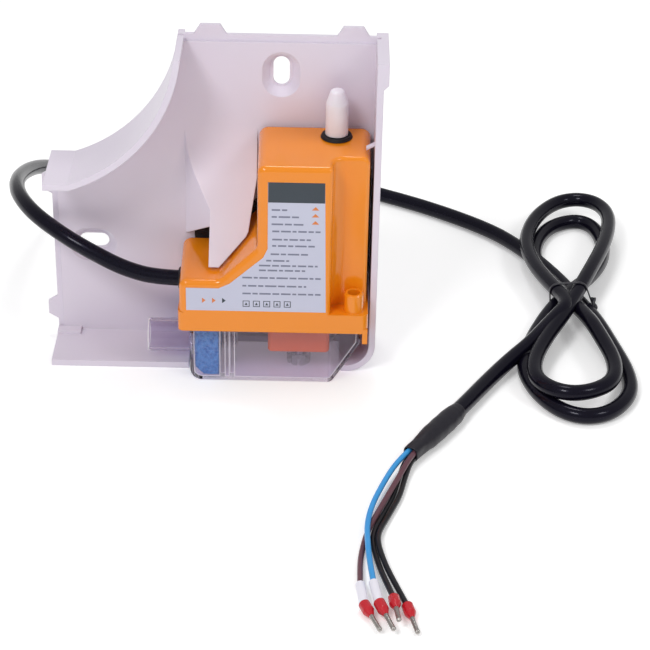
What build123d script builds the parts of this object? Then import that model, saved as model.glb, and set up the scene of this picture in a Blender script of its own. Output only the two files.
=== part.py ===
"""Condensate pump in a wall-trunking elbow: an orange float-switched piston pump with a clear tank.

The elbow stands upright as it does on a wall: +Z is up and the front faces -Y. The origin is on the
plane that the elbow and the tank stand on, in the middle of the object's width and depth.
Millimetres throughout.
"""
from build123d import *
from math import acos, asin, atan, cos, pi, radians, sin, sqrt, tan
import os

os.makedirs("parts", exist_ok=True)

# ---------------------------------------------------------------- driving dimensions
# Trunking elbow
elbow_width = 136.0        # left duct mouth to the outer face of the right wall
elbow_height = 140.0
elbow_depth = 32.0         # wall plane to the front rim
elbow_wall = 2.7
upper_duct_width = 82.0
side_duct_height = 85.0
sweep_radius = 65.5        # outer face of the swept wall that joins the two ducts
mouth_land = 10.0          # flat length of the side duct's upper wall
corner_radius = 12.5
panel_setback = 5.5        # wall plane to the panel's front face
mouth_step = 0.9           # the panel is thinner at both mouths
mouth_step_top = 2.8
mouth_step_side = 2.3
tab_reach = 4.0
tab_width = 18.0
flange_out = 2.0
flange_height = 9.0
slot_width, slot_length = 6.6, 12.5
dish_width, dish_length, dish_depth = 15.4, 19.5, 4.4
dish_taper = 34.0
upper_slot_drop = 16.7      # upper mouth to the middle of its slot
side_slot_inset = 16.5      # left mouth to the middle of its slot

# Spring tongue that holds the pump in the elbow
tongue_width = 18.9
tongue_reach = 29.5
tongue_drop = 49.8
tongue_thickness = 2.0
tongue_bend = 35.0         # radius of its curve where it leaves the panel
tongue_gap = 1.7           # tip above the pump's block
hood_flare = 11.7

# Pump housing
pump_depth = 36.5
pad_thickness = 1.7
seat_gap = 0.3             # soft or removable pieces lie this far from what holds them
housing_wall = 2.0
draft = 1.0                # degrees, narrowing towards the front
pump_width = 78.0
skirt_bottom = 25.3
floor_top = 34.0
block_top = 48.6
tower_top = 100.5
tower_width = 44.2
shoulder_run = 15.5        # slope between the block and the tower
shoulder_rise = 15.0
edge_radius = 2.4
recess_width = 15.6
recess_depth = 10.0
recess_corner = 5.0
right_gap = 0.9            # pump to the elbow's right wall
leg_length = 4.8
leg_thickness = 2.2
leg_depth = 12.0

# Tank
tank_wall = 1.6
tank_rim_width = 2.3
tank_rim_height = 2.0
tank_chamfer_x, tank_chamfer_z = 11.5, 19.0
tank_corner = 5.0
inlet_radius, inlet_wall, inlet_length = 7.0, 1.4, 18.2
inlet_inset, inlet_z = 18.5, 12.5    # pump's front face to the spigot, and its height
foam_width, foam_height = 10.6, 25.0
rib_thickness, rib_gap, rib_reach = 2.0, 1.9, 4.0

# Pump mechanism, all on one upright axis
running_gap = 0.1
tube_outer, tube_inner = 4.0, 3.2
yoke_lift = 10.0           # floor of the chamber to the yoke
yoke_height, yoke_sheet = 28.0, 2.0
yoke_side_gap = 3.25       # yoke to the chamber's front and back
yoke_left_gap, yoke_right_gap = 4.5, 0.3    # yoke to the tower's left wall and to the recess
bobbin_hub, bobbin_sheet = 5.2, 1.5
piston_length, piston_bore = 12.0, 1.0
spring_radius, spring_wire, spring_turns = 2.55, 0.35, 4.0
piston_stroke = 1.5
suction_radius, suction_bore = 2.5, 1.5
strainer_radius = 5.0

# Float
float_width, float_height = 25.6, 13.7
float_side_gap = 2.85      # float to the tank's front and back
float_bottom = 12.3
float_hole = 3.3
magnet_radius, magnet_height = 2.5, 3.0

# Outlet, its cap and the vent
outlet_inset_x, outlet_inset_y = 14.4, 6.0     # from the pump's right side and the back plate
outlet_radius, outlet_bore, outlet_height = 3.0, 1.6, 16.0
grommet_flange, grommet_neck, grommet_top = 6.5, 4.9, 1.3
cap_radius, cap_height, cap_tip = 4.65, 19.6, 5.8
vent_inset_x, vent_inset_y = 6.0, 5.0          # from the pump's right side and front
vent_radius, vent_bore, vent_height = 4.0, 2.5, 8.3

# Mains cable and its conductors
cable_radius = 3.35
gland_inset, gland_lift = 17.5, 6.3            # from the pump's front and the chamber's floor
sleeve_radius, sleeve_length, sleeve_mouth = 4.8, 30.0, 38.0
sleeve_mouth_bore, sleeve_mouth_radius = 3.15, 3.6
conductor_radius = 1.1

# ---------------------------------------------------------------- derived places
overall_width = elbow_width + tab_reach + flange_out
overall_depth = panel_setback + pad_thickness + seat_gap + pump_depth
right = overall_width / 2 - flange_out
left = right - elbow_width
wall_plane = overall_depth / 2
panel_front = wall_plane - panel_setback
panel_back = panel_front + elbow_wall
rim = wall_plane - elbow_depth
sweep_x = right - upper_duct_width - sweep_radius
sweep_z = side_duct_height + sqrt(sweep_radius**2 - (left + mouth_land - sweep_x) ** 2)

pump_back = panel_front - pad_thickness - seat_gap
pump_front = pump_back - pump_depth
pump_right = right - elbow_wall - right_gap
pump_left = pump_right - pump_width
tower_left = pump_right - 1.2 - tower_width
draft_growth = pump_depth * tan(radians(draft))
chamber_front = pump_front + housing_wall
plate_front = pump_back - housing_wall
floor_bottom = floor_top - housing_wall
bay_left = pump_left + housing_wall
bay_right = pump_right - housing_wall
recess_left = pump_right - recess_width
upper_slot_x, upper_slot_z = right - upper_duct_width / 2 + 0.2, elbow_height - upper_slot_drop
side_slot_x, side_slot_z = left + side_slot_inset, side_duct_height / 2 + 1.5
tongue_tip_z = block_top + tongue_gap
yoke_right = recess_left - housing_wall - yoke_right_gap
yoke_width = yoke_right - (tower_left + housing_wall + yoke_left_gap)
pump_x, pump_y = yoke_right - yoke_width / 2, (chamber_front + plate_front) / 2 - 0.25
yoke_bottom = floor_top + yoke_lift
yoke_depth = plate_front - chamber_front - 2 * yoke_side_gap
bobbin_flange = min(yoke_depth / 2 - yoke_sheet - 0.8, yoke_width / 2 - 0.3)
coil_radius = bobbin_flange - 0.6
inlet_y = pump_front + inlet_inset
outlet_x, outlet_y = pump_right - outlet_inset_x, plate_front - outlet_inset_y
vent_x, vent_y = pump_right - vent_inset_x, pump_front + vent_inset_y
gland_y, gland_z = pump_front + gland_inset, floor_top + gland_lift
outlet_top = tower_top + (outlet_y - pump_front) * tan(radians(draft))
gland_face = pump_left + 0.7 - (gland_y - pump_front) * tan(radians(draft))
tank_right = pump_right - 2.9
recess_back = pump_front + recess_depth
yoke_top = yoke_bottom + yoke_height


def front_plane(y):
    """Plane facing the front at depth y, with X to the right and Z up."""
    return Plane.XZ.offset(-y)


def side_plane(x):
    """Plane facing right at x; its own axes are Y and Z."""
    return Plane.YZ.offset(x)


def level(z):
    """Horizontal plane at height z."""
    return Plane.XY.offset(z)


def duct_outline(inset, run_out):
    """Elbow seen from the front, inset evenly, with its two open mouths run out by run_out."""
    radius = sweep_radius + inset
    land_z = side_duct_height - inset
    mouth_x, mouth_z = left - run_out, elbow_height + run_out
    arc_end_z = min(mouth_z, sweep_z)
    arc_start = (sweep_x + sqrt(radius**2 - (sweep_z - land_z) ** 2), land_z)
    arc_end = (sweep_x + sqrt(radius**2 - (sweep_z - arc_end_z) ** 2), arc_end_z)
    half_z = (land_z + arc_end_z) / 2
    arc_middle = (sweep_x + sqrt(radius**2 - (sweep_z - half_z) ** 2), half_z)
    Line((mouth_x, inset), (right - corner_radius, inset))
    RadiusArc(
        (right - corner_radius, inset), (right - inset, corner_radius), -(corner_radius - inset)
    )
    Line((right - inset, corner_radius), (right - inset, mouth_z))
    if mouth_z > sweep_z:
        Polyline((right - inset, mouth_z), (arc_end[0], mouth_z), arc_end)
    else:
        Line((right - inset, mouth_z), arc_end)
    ThreePointArc(arc_end, arc_middle, arc_start)
    Polyline(arc_start, (mouth_x, land_z), (mouth_x, inset))


# ---------------------------------------------------------------- trunking elbow
tongue_right = tower_left - draft_growth - 0.7
tongue_left = tongue_right - tongue_width
tongue_root_z = tongue_tip_z + tongue_drop
tongue_chord = sqrt(tongue_drop**2 + (tongue_bend - tongue_reach) ** 2)
tongue_lean = asin(tongue_bend / tongue_chord) - atan((tongue_bend - tongue_reach) / tongue_drop)
tongue_tip_y = panel_front - tongue_reach
wing_y = panel_front - 15.0
wing_z = tongue_tip_z + 11.2
shoulder_clear = tongue_tip_z + 10.2
cut_left = pump_left + 3.4
cut_right = tank_right - tank_chamfer_x + 4.0


def scoop_outline(offset):
    """Side view of the space between the tongue and the panel; offset picks the tongue's face."""
    centre_y, radius = panel_front - tongue_bend, tongue_bend + offset
    first = acos(tongue_bend / radius)
    half = (first + tongue_lean) / 2
    start = (panel_front, tongue_root_z - radius * sin(first))
    bend_end = (centre_y + radius * cos(tongue_lean), tongue_root_z - radius * sin(tongue_lean))
    end_y = bend_end[0] - (bend_end[1] - tongue_tip_z) * tan(tongue_lean)
    ThreePointArc(start, (centre_y + radius * cos(half), tongue_root_z - radius * sin(half)), bend_end)
    Polyline(
        bend_end, (end_y, tongue_tip_z), (panel_front + 0.5, tongue_tip_z),
        (panel_front + 0.5, start[1]), start,
    )


# spring tongue: a curved strip that leaves the panel, with a flared wing on its left side
scoop_start = tongue_left - 2 * hood_flare
scoop_width = tongue_width + 4 * hood_flare
with BuildPart() as tongue_space:
    with BuildSketch(side_plane(scoop_start)):
        with BuildLine():
            scoop_outline(tongue_thickness)
        make_face()
    extrude(amount=scoop_width)
    with BuildSketch(level(0)):
        with BuildLine():
            Polyline(
                (tongue_right + 5, panel_front + 1), (tongue_right + 5, tongue_tip_y - 5),
                (tongue_left - 5, tongue_tip_y - 5), (tongue_left - 5, wing_y),
                (tongue_left + tongue_thickness, wing_y),
                (tongue_left + tongue_thickness - hood_flare, panel_front + 1), close=True,
            )
        make_face()
    extrude(amount=2 * tongue_root_z, mode=Mode.INTERSECT)

with BuildPart() as tongue:
    with BuildSketch(side_plane(scoop_start)):
        with BuildLine():
            scoop_outline(0)
        make_face()
    extrude(amount=scoop_width)
    with BuildSketch(level(0)):
        with BuildLine():
            Polyline(
                (tongue_right, panel_front + 1), (tongue_right, tongue_tip_y - 5),
                (tongue_left, tongue_tip_y - 5), (tongue_left, wing_y),
                (tongue_left - hood_flare, panel_front + 1), close=True,
            )
        make_face()
    extrude(amount=2 * tongue_root_z, mode=Mode.INTERSECT)
    add(tongue_space.part, mode=Mode.SUBTRACT)
    # the lower right edge follows the pump's shoulder, and the wing's lower edge rises
    with BuildSketch(front_plane(panel_front)):
        with BuildLine():
            Polyline(
                (tongue_left + 4.2, tongue_tip_z - 2), (tongue_left + 4.2, tongue_tip_z),
                (tongue_left + 7.2, tongue_tip_z + 2.7), (tongue_left + 15.0, shoulder_clear),
                (tongue_left + 15.9, shoulder_clear + 1.6), (tongue_right + 0.3, tongue_tip_z + 31),
                (tongue_right + 3, tongue_tip_z + 31), (tongue_right + 3, tongue_tip_z - 2),
                close=True,
            )
        make_face()
        with BuildLine():
            Polyline(
                (tongue_left - 2 * hood_flare, tongue_tip_z - hood_flare),
                (tongue_left, tongue_tip_z - hood_flare), (tongue_left, wing_z),
                (tongue_left - hood_flare, tongue_tip_z - 0.5),
                (tongue_left - 2 * hood_flare, tongue_tip_z - 0.5), close=True,
            )
        make_face()
    extrude(amount=2 * tongue_reach, mode=Mode.SUBTRACT)

with BuildPart() as elbow_base:
    with BuildSketch(front_plane(panel_back)):
        with BuildLine():
            duct_outline(0, 0)
        make_face()
    extrude(amount=elbow_wall)
    # walls from the wall plane to the rim
    with BuildSketch(front_plane(wall_plane)):
        with BuildLine():
            duct_outline(0, 0)
        make_face()
        with BuildSketch(mode=Mode.SUBTRACT):
            with BuildLine():
                duct_outline(elbow_wall, 5)
            make_face()
    extrude(amount=elbow_depth)
    # steps that the neighbouring trunking bases lap on to
    with Locations((0, panel_front, elbow_height - mouth_step_top / 2)):
        Box(3 * elbow_width, 2 * mouth_step, mouth_step_top, mode=Mode.SUBTRACT)
    with Locations((left + mouth_step_side / 2, panel_front, side_duct_height / 2)):
        Box(mouth_step_side, 2 * mouth_step, side_duct_height - 2 * elbow_wall, mode=Mode.SUBTRACT)
    # flange of the right wall at the upper mouth
    with BuildSketch(front_plane(wall_plane)):
        with BuildLine():
            Polyline(
                (right - 1, elbow_height), (right + flange_out, elbow_height),
                (right + flange_out, elbow_height - flange_height),
                (right, elbow_height - flange_height - flange_out),
                (right - 1, elbow_height - flange_height - flange_out), close=True,
            )
        make_face()
    extrude(amount=elbow_depth)

    # tabs that reach under the neighbouring bases
    upper_tab_left = sweep_x + sqrt(sweep_radius**2 - (sweep_z - elbow_height) ** 2) + 4
    for tab_x in (upper_tab_left + tab_width / 2, right - 3 - tab_width / 2):
        with BuildSketch(front_plane(panel_back)):
            with Locations((tab_x, elbow_height)):
                Trapezoid(tab_width, 2 * tab_reach, 58)
        extrude(amount=elbow_wall - mouth_step)
    for tab_z in (12.6, side_duct_height - 12.2):
        with BuildSketch(front_plane(panel_back)):
            with Locations((left, tab_z)):
                Trapezoid(tab_width - 2, 2 * tab_reach, 58, rotation=90)
        extrude(amount=elbow_wall - mouth_step)
    # stop pad in the lower corner of the side duct and nib above the pump
    with Locations((left + 5, panel_front - 2.5, elbow_wall)):
        Box(10, 5.2, 2.4)
    nib_z = tower_top + 0.7
    with BuildSketch(front_plane(rim + 6)):
        with BuildLine():
            Polyline(
                (right - elbow_wall + 0.5, nib_z + 2.0), (right - elbow_wall - 3.4, nib_z),
                (right - elbow_wall - 3.4, nib_z + 1.1), (right - elbow_wall + 0.5, nib_z + 3.3),
                close=True,
            )
        make_face()
    extrude(amount=2)
    # dished bosses with a slot for a wall screw, one upright and one level
    for slot_x, slot_z, turn in ((upper_slot_x, upper_slot_z, 90), (side_slot_x, side_slot_z, 0)):
        with BuildSketch(front_plane(wall_plane)):
            with Locations((slot_x, slot_z)):
                SlotOverall(dish_length + 2, dish_width + 2, rotation=turn)
        extrude(amount=panel_setback)
        with BuildSketch(front_plane(panel_front)):
            with Locations((slot_x, slot_z)):
                SlotOverall(dish_length, dish_width, rotation=turn)
        extrude(amount=-dish_depth, taper=dish_taper, mode=Mode.SUBTRACT)
        with BuildSketch(front_plane(wall_plane)):
            with Locations((slot_x, slot_z)):
                SlotOverall(slot_length, slot_width, rotation=turn)
        extrude(amount=elbow_depth, mode=Mode.SUBTRACT)
    # bottom wall cut away under the tank, open to the front
    with Locations(((cut_left + cut_right) / 2, rim - 1, 0)):
        Box(
            cut_right - cut_left, 2 * (plate_front + 1.5 - rim + 1), 4 * elbow_wall,
            align=(Align.CENTER, Align.CENTER, Align.CENTER), mode=Mode.SUBTRACT,
        )
    add(tongue.part)
elbow_base.part.label = "elbow_base"
export_step(elbow_base.part, "parts/elbow_base.step")


# ---------------------------------------------------------------- pump housing
def housing_outline(grow, bottom):
    """Front view of the block, shoulder and tower, grown evenly outwards, down to a given height."""
    bend = grow * tan(radians(22.5))
    shoulder_x = tower_left - shoulder_run
    Polyline(
        (pump_left + 0.7 - grow, bottom), (pump_left + 0.7 - grow, block_top + grow),
        (shoulder_x - bend, block_top + grow),
        (tower_left - grow, block_top + shoulder_rise + bend),
        (tower_left - grow, tower_top + grow), (pump_right - 1.0 + grow, tower_top + grow),
        (pump_right - 1.0 + grow, bottom), close=True,
    )


screw_boss_radius, screw_pilot, screw_depth = 3.0, 1.25, 12.0
screw_places = (
    (tower_left - 9.9, block_top - 5.3, chamber_front),
    (tower_left + 6.4, tower_top - 6.6, chamber_front),
    (pump_right - 6.6, floor_top + 7.0, recess_back + housing_wall),
    (pump_right - 6.6, tower_top - 10.4, recess_back + housing_wall),
)
board_thickness, board_gap = 1.6, 2.3
board_left, board_right = pump_left + 5.6, pump_x - 9.6
board_front, board_back = pump_front + 4.0, plate_front - 3.5
board_posts = (
    (board_left + 3, board_front + 3), (board_left + 3, board_back - 3),
    (board_right - 3, board_front + 3), (board_right - 3, board_back - 3),
)
vent_bottom = floor_bottom - 1
label_thickness = 0.25
label_left, label_bottom, label_top = pump_left + 3.6, floor_top + 1.2, tower_top - 6.4
label_waist = tower_left + 4.2


def label_outline():
    """Front view of the rating label: a tall panel over the tower with a foot over the block."""
    label_right = recess_left - 3.0
    foot_top = block_top - 3.0
    Polyline(
        (label_waist, label_top), (label_right, label_top), (label_right + 1.2, label_bottom),
        (label_left, label_bottom), (label_left, foot_top), (label_waist - 20.0, foot_top),
        (label_waist - 15.5, foot_top + 2.2), (label_waist - 1.8, foot_top + 14.6),
        (label_waist, foot_top + 18.6), (label_waist, label_top),
    )


with BuildPart() as housing_chamber:
    # hollow for the mechanism, open at the back and clear of the recess
    with BuildSketch(front_plane(pump_back)):
        with BuildLine():
            housing_outline(draft_growth - housing_wall, floor_top - 1)
        make_face()
    extrude(amount=pump_depth - housing_wall, taper=draft)
    with Locations(((pump_left + pump_right) / 2, 0, floor_top)):
        Box(
            2 * pump_width, 3 * pump_depth, housing_wall,
            align=(Align.CENTER, Align.CENTER, Align.MAX), mode=Mode.SUBTRACT,
        )
    with BuildSketch(level(0)) as chamber_recess:
        with Locations((recess_left - housing_wall, recess_back + housing_wall)):
            Rectangle(pump_width, pump_width, align=(Align.MIN, Align.MAX))
        inner_corner = chamber_recess.vertices().sort_by(Axis.X)[0:2].sort_by(Axis.Y)[-1]
        fillet(inner_corner, recess_corner + housing_wall)
    extrude(amount=2 * tower_top, mode=Mode.SUBTRACT)

with BuildPart() as pump_housing:
    # drafted outer body, its upper corners and front edges rounded
    with BuildSketch(front_plane(pump_back)) as body_outline:
        with BuildLine():
            housing_outline(draft_growth, skirt_bottom + 3)
        make_face()
        fillet(body_outline.vertices().filter_by(lambda v: v.Y > floor_top), 4)
    extrude(amount=pump_depth, taper=draft)
    fillet(pump_housing.faces().sort_by(Axis.Y)[0].edges(), edge_radius)
    # recess at the right front corner
    with BuildSketch(level(floor_top)) as recess:
        with Locations((recess_left, recess_back)):
            Rectangle(pump_width, pump_width, align=(Align.MIN, Align.MAX))
        fillet(recess.vertices().sort_by(Axis.X)[0:2].sort_by(Axis.Y)[-1], recess_corner)
    extrude(amount=tower_top, mode=Mode.SUBTRACT)
    recess_rim = pump_housing.edges().filter_by(
        lambda e: e.bounding_box().min.X > recess_left - 0.1
        and e.bounding_box().max.Y < recess_back + 0.1
        and e.bounding_box().max.Z > block_top
    )
    concave = recess_rim.filter_by(Axis.Z).filter_by(lambda e: e.center().Y > pump_front + 1)
    fillet([edge for edge in recess_rim if edge not in concave], 1.6)
    # skirt that takes the tank's rim, a little wider than the body
    with BuildSketch(level(skirt_bottom)) as skirt:
        with Locations(((pump_left + pump_right) / 2, (pump_front + pump_back) / 2)):
            Rectangle(pump_width, pump_depth)
        fillet(skirt.vertices().sort_by(Axis.Y)[0:2], edge_radius)
    extrude(amount=floor_top - skirt_bottom)
    with Locations(((bay_left + bay_right) / 2, (chamber_front + plate_front) / 2, skirt_bottom - 1)):
        Box(
            bay_right - bay_left, plate_front - chamber_front, floor_bottom - skirt_bottom + 1,
            align=(Align.CENTER, Align.CENTER, Align.MIN), mode=Mode.SUBTRACT,
        )
    add(housing_chamber.part, mode=Mode.SUBTRACT)
    # leg at the right that grips the tank's side
    with Locations((pump_right - leg_thickness, pump_front, skirt_bottom - leg_length)):
        Box(
            leg_thickness, leg_depth, leg_length + 2,
            align=(Align.MIN, Align.MIN, Align.MIN),
        )
    # screw bosses on the front wall, and posts on the floor for the board
    for boss_x, boss_z, boss_front in screw_places:
        with BuildSketch(front_plane(plate_front)):
            with Locations((boss_x, boss_z)):
                Circle(screw_boss_radius)
        extrude(amount=plate_front - boss_front + 0.5)
        with BuildSketch(front_plane(plate_front)):
            with Locations((boss_x, boss_z)):
                Circle(screw_pilot)
        extrude(amount=screw_depth, mode=Mode.SUBTRACT)
    with BuildSketch(level(floor_bottom)):
        with Locations(*board_posts):
            Circle(1.9)
    extrude(amount=housing_wall + board_gap)
    with BuildSketch(level(floor_bottom)):
        with Locations(*board_posts):
            Circle(0.8)
    extrude(amount=housing_wall + board_gap, mode=Mode.SUBTRACT)
    # vent spigot on the ledge, open to the air above the tank
    with BuildSketch(level(floor_bottom)):
        with Locations((vent_x, vent_y)):
            Circle(vent_radius)
    extrude(amount=housing_wall + vent_height)
    vent_lip = pump_housing.edges().filter_by(GeomType.CIRCLE).filter_by(
        lambda e: abs(e.center().Z - floor_top - vent_height) < 0.1 and e.center().X > recess_left
    )
    chamfer(vent_lip, 0.6)
    with BuildSketch(level(vent_bottom)):
        with Locations((vent_x, vent_y)):
            Circle(vent_bore)
    extrude(amount=vent_height + 4, mode=Mode.SUBTRACT)
    # holes for the suction tube, the outlet's rubber and the cable's rubber
    with BuildSketch(level(vent_bottom)):
        with Locations((pump_x, pump_y)):
            Circle(suction_radius + 0.4)
    extrude(amount=2 * housing_wall, mode=Mode.SUBTRACT)
    with BuildSketch(level(tower_top - 2 * housing_wall)):
        with Locations((outlet_x, outlet_y)):
            Circle(grommet_neck)
    extrude(amount=4 * housing_wall, mode=Mode.SUBTRACT)
    with BuildSketch(side_plane(pump_left - 1)):
        with Locations((gland_y, gland_z)):
            Circle(cable_radius + 1.5)
    extrude(amount=housing_wall + 2.5, mode=Mode.SUBTRACT)
    # shallow pocket that the rating label lies in
    with BuildSketch(front_plane(pump_front + label_thickness)):
        with BuildLine():
            label_outline()
        make_face()
    extrude(amount=1, mode=Mode.SUBTRACT)
pump_housing.part.label = "pump_housing"
export_step(pump_housing.part, "parts/pump_housing.step")

plate_gap = 0.15
shelf_z, shelf_thickness = yoke_top + 3.0, 2.0
mount_radius, mount_groove = 7.5, 6.3
head_radius, head_height, screw_radius = 2.8, 1.3, 1.2

with BuildPart() as housing_back:
    with BuildSketch(front_plane(pump_back)):
        with BuildLine():
            housing_outline(draft_growth - housing_wall - plate_gap, floor_top + plate_gap)
        make_face()
    extrude(amount=housing_wall - 0.05)
    for boss_x, boss_z, boss_front in screw_places:
        with BuildSketch(front_plane(pump_back)):
            with Locations((boss_x, boss_z)):
                Circle(head_radius + 0.2)
        extrude(amount=head_height + 0.1, mode=Mode.SUBTRACT)
        with BuildSketch(front_plane(pump_back)):
            with Locations((boss_x, boss_z)):
                Circle(screw_radius + 0.2)
        extrude(amount=2 * housing_wall, mode=Mode.SUBTRACT)
    # forked shelf that carries the pump's upper rubber
    with BuildSketch(level(shelf_z)):
        with Locations((pump_x, plate_front + 0.1)):
            Rectangle(2 * mount_radius + 4, plate_front - pump_y, align=(Align.CENTER, Align.MAX))
        with Locations((pump_x, pump_y)):
            Circle(mount_groove + 0.1, mode=Mode.SUBTRACT)
    extrude(amount=shelf_thickness)
housing_back.part.label = "housing_back"

with BuildPart() as housing_screws:
    for boss_x, boss_z, boss_front in screw_places:
        with BuildSketch(front_plane(pump_back - 0.05)):
            with Locations((boss_x, boss_z)):
                Circle(head_radius)
        extrude(amount=head_height)
        with BuildSketch(front_plane(pump_back - head_height)):
            with Locations((boss_x, boss_z)):
                Circle(screw_radius)
        extrude(amount=screw_depth - 1)
        with BuildSketch(front_plane(pump_back)):
            with Locations((boss_x, boss_z)):
                Rectangle(3.6, 0.7)
                Rectangle(0.7, 3.6)
        extrude(amount=0.8, mode=Mode.SUBTRACT)
housing_screws.part.label = "housing_screws"

with BuildPart() as rating_label:
    with BuildSketch(front_plane(pump_front + label_thickness)):
        with BuildLine():
            label_outline()
        make_face()
    extrude(amount=label_thickness)
rating_label.part.label = "rating_label"

# black foam stuck on the elbow's panel behind the pump
with BuildPart() as backing_foam:
    with BuildSketch(front_plane(panel_front)):
        with BuildLine():
            Polyline(
                (tongue_left - 7.5, floor_top), (tongue_left - 7.5, block_top + 6),
                (tongue_left + 5, block_top + 6), (tongue_right + 0.4, block_top + 20),
                (tongue_right + 0.4, tower_top - 18), (pump_right + 0.4, tower_top - 18),
                (pump_right + 0.4, floor_top), close=True,
            )
        make_face()
    extrude(amount=pad_thickness)
backing_foam.part.label = "backing_foam"

# ---------------------------------------------------------------- tank and what is in it
tank_left = bay_left + seat_gap + tank_rim_width
tank_front, tank_back = chamber_front + seat_gap, plate_front - seat_gap
tank_top = floor_bottom - seat_gap
float_depth = tank_back - tank_front - 2 * tank_wall - 2 * float_side_gap
rib_place = tank_left + tank_wall + foam_width + 0.3


def tank_outline(inset, top):
    """Front view of the tank, inset evenly, open upwards at the given height."""
    bottom_right = tank_right - tank_chamfer_x - inset * 0.54
    Polyline(
        (tank_left + inset, top), (tank_left + inset, inset),
        (bottom_right, inset),
        (tank_right - inset, tank_chamfer_z + inset * 0.27), (tank_right - inset, top), close=True,
    )


with BuildPart() as tank_hollow:
    with BuildSketch(front_plane(tank_back - tank_wall)) as hollow_outline:
        with BuildLine():
            tank_outline(tank_wall, tank_top + 1)
        make_face()
        low = hollow_outline.vertices().filter_by(lambda v: v.Y < tank_chamfer_z)
        fillet(low.sort_by(Axis.X)[0], tank_corner - tank_wall)
        fillet(hollow_outline.vertices().filter_by(lambda v: v.Y < 3).sort_by(Axis.X)[-1], 3 - tank_wall)
    extrude(amount=tank_back - tank_front - 2 * tank_wall)

with BuildPart() as reservoir:
    with BuildSketch(front_plane(tank_back)) as shell_outline:
        with BuildLine():
            tank_outline(0, tank_top)
        make_face()
        fillet(shell_outline.vertices().filter_by(lambda v: v.Y < 1).sort_by(Axis.X)[0], tank_corner)
        fillet(shell_outline.vertices().filter_by(lambda v: v.Y < 1).sort_by(Axis.X)[-1], 3)
    extrude(amount=tank_back - tank_front)
    tank_rim_edges = reservoir.faces().sort_by(Axis.Y)[0].edges()
    fillet(tank_rim_edges.filter_by(lambda e: e.center().Z < tank_top - 1), 1.2)
    # rim that sits in the skirt
    with BuildSketch(level(tank_top - tank_rim_height)):
        with Locations((bay_left + seat_gap, tank_front)):
            Rectangle(
                bay_right - bay_left - 2 * seat_gap, tank_back - tank_front,
                align=(Align.MIN, Align.MIN),
            )
    extrude(amount=tank_rim_height)
    # inlet spigot
    with BuildSketch(side_plane(tank_left + tank_wall / 2)):
        with Locations((inlet_y, inlet_z)):
            Circle(inlet_radius)
    extrude(amount=-inlet_length - tank_wall / 2)
    add(tank_hollow.part, mode=Mode.SUBTRACT)
    with BuildSketch(side_plane(tank_left + 2 * tank_wall)):
        with Locations((inlet_y, inlet_z)):
            Circle(inlet_radius - inlet_wall)
    extrude(amount=-inlet_length - 4 * tank_wall, mode=Mode.SUBTRACT)
    # two pairs of upright ribs keep the foam at the inlet
    for rib in range(2):
        rib_x = rib_place + rib * (rib_thickness + rib_gap)
        with Locations((rib_x, tank_front + tank_wall / 2, tank_wall / 2)):
            Box(
                rib_thickness, rib_reach + tank_wall / 2, tank_top - 3,
                align=(Align.MIN, Align.MIN, Align.MIN),
            )
        with Locations((rib_x, tank_back - tank_wall / 2, tank_wall / 2)):
            Box(
                rib_thickness, rib_reach + tank_wall / 2, tank_top - 3,
                align=(Align.MIN, Align.MAX, Align.MIN),
            )
reservoir.part.label = "reservoir"

with BuildPart() as filter_foam:
    with BuildSketch(level(tank_wall + seat_gap)) as foam_plan:
        with Locations((tank_left + tank_wall + 0.15, (tank_front + tank_back) / 2)):
            Rectangle(
                foam_width, tank_back - tank_front - 2 * tank_wall - 0.6,
                align=(Align.MIN, Align.CENTER),
            )
    extrude(amount=foam_height)
    chamfer(
        filter_foam.edges().filter_by(Axis.Y).sort_by(Axis.Z)[:2].sort_by(Axis.X)[0],
        tank_corner - tank_wall,
    )
filter_foam.part.label = "filter_foam"

with BuildPart() as float_body:
    with BuildSketch(level(float_bottom)) as float_plan:
        with Locations((pump_x, pump_y)):
            Rectangle(float_width, float_depth)
        fillet(float_plan.vertices(), 2)
        with Locations((pump_x, pump_y)):
            Circle(float_hole, mode=Mode.SUBTRACT)
    extrude(amount=float_height)
    fillet(float_body.faces().sort_by(Axis.Z)[0].outer_wire().edges(), 1)
    with Locations((pump_x - float_width / 2 + 4.2, pump_y, float_bottom + float_height)):
        Hole(magnet_radius + 0.05, depth=magnet_height)
float_body.part.label = "float_body"

with BuildPart() as float_magnet:
    with BuildSketch(level(float_bottom + float_height - magnet_height)):
        with Locations((pump_x - float_width / 2 + 4.2, pump_y)):
            Circle(magnet_radius)
    extrude(amount=magnet_height - 0.2)
float_magnet.part.label = "float_magnet"

# ---------------------------------------------------------------- pump on its upright axis
inlet_z_low, inlet_z_high = floor_top + 3.5, yoke_bottom + 1.2
outlet_z_low, spigot_top = yoke_top + 0.5, yoke_top + 12.0
spigot_radius = 2.4
pump_axis = Location((pump_x, pump_y, 0))


def half_section(*points):
    """Closed half section for a revolved piece, as (radius, height) points about the pump's axis."""
    Polyline(*[(pump_x + r, z) for r, z in points], close=True)


upright = Axis((pump_x, pump_y, 0), (0, 0, 1))
section_plane = front_plane(pump_y)

with BuildPart() as suction_tube:
    with BuildSketch(level(tank_wall + 4.0)):
        with Locations((pump_x, pump_y)):
            Circle(suction_radius)
            Circle(suction_bore, mode=Mode.SUBTRACT)
    extrude(amount=inlet_z_low + 4.5 - tank_wall - 4.0)
suction_tube.part.label = "suction_tube"

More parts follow.
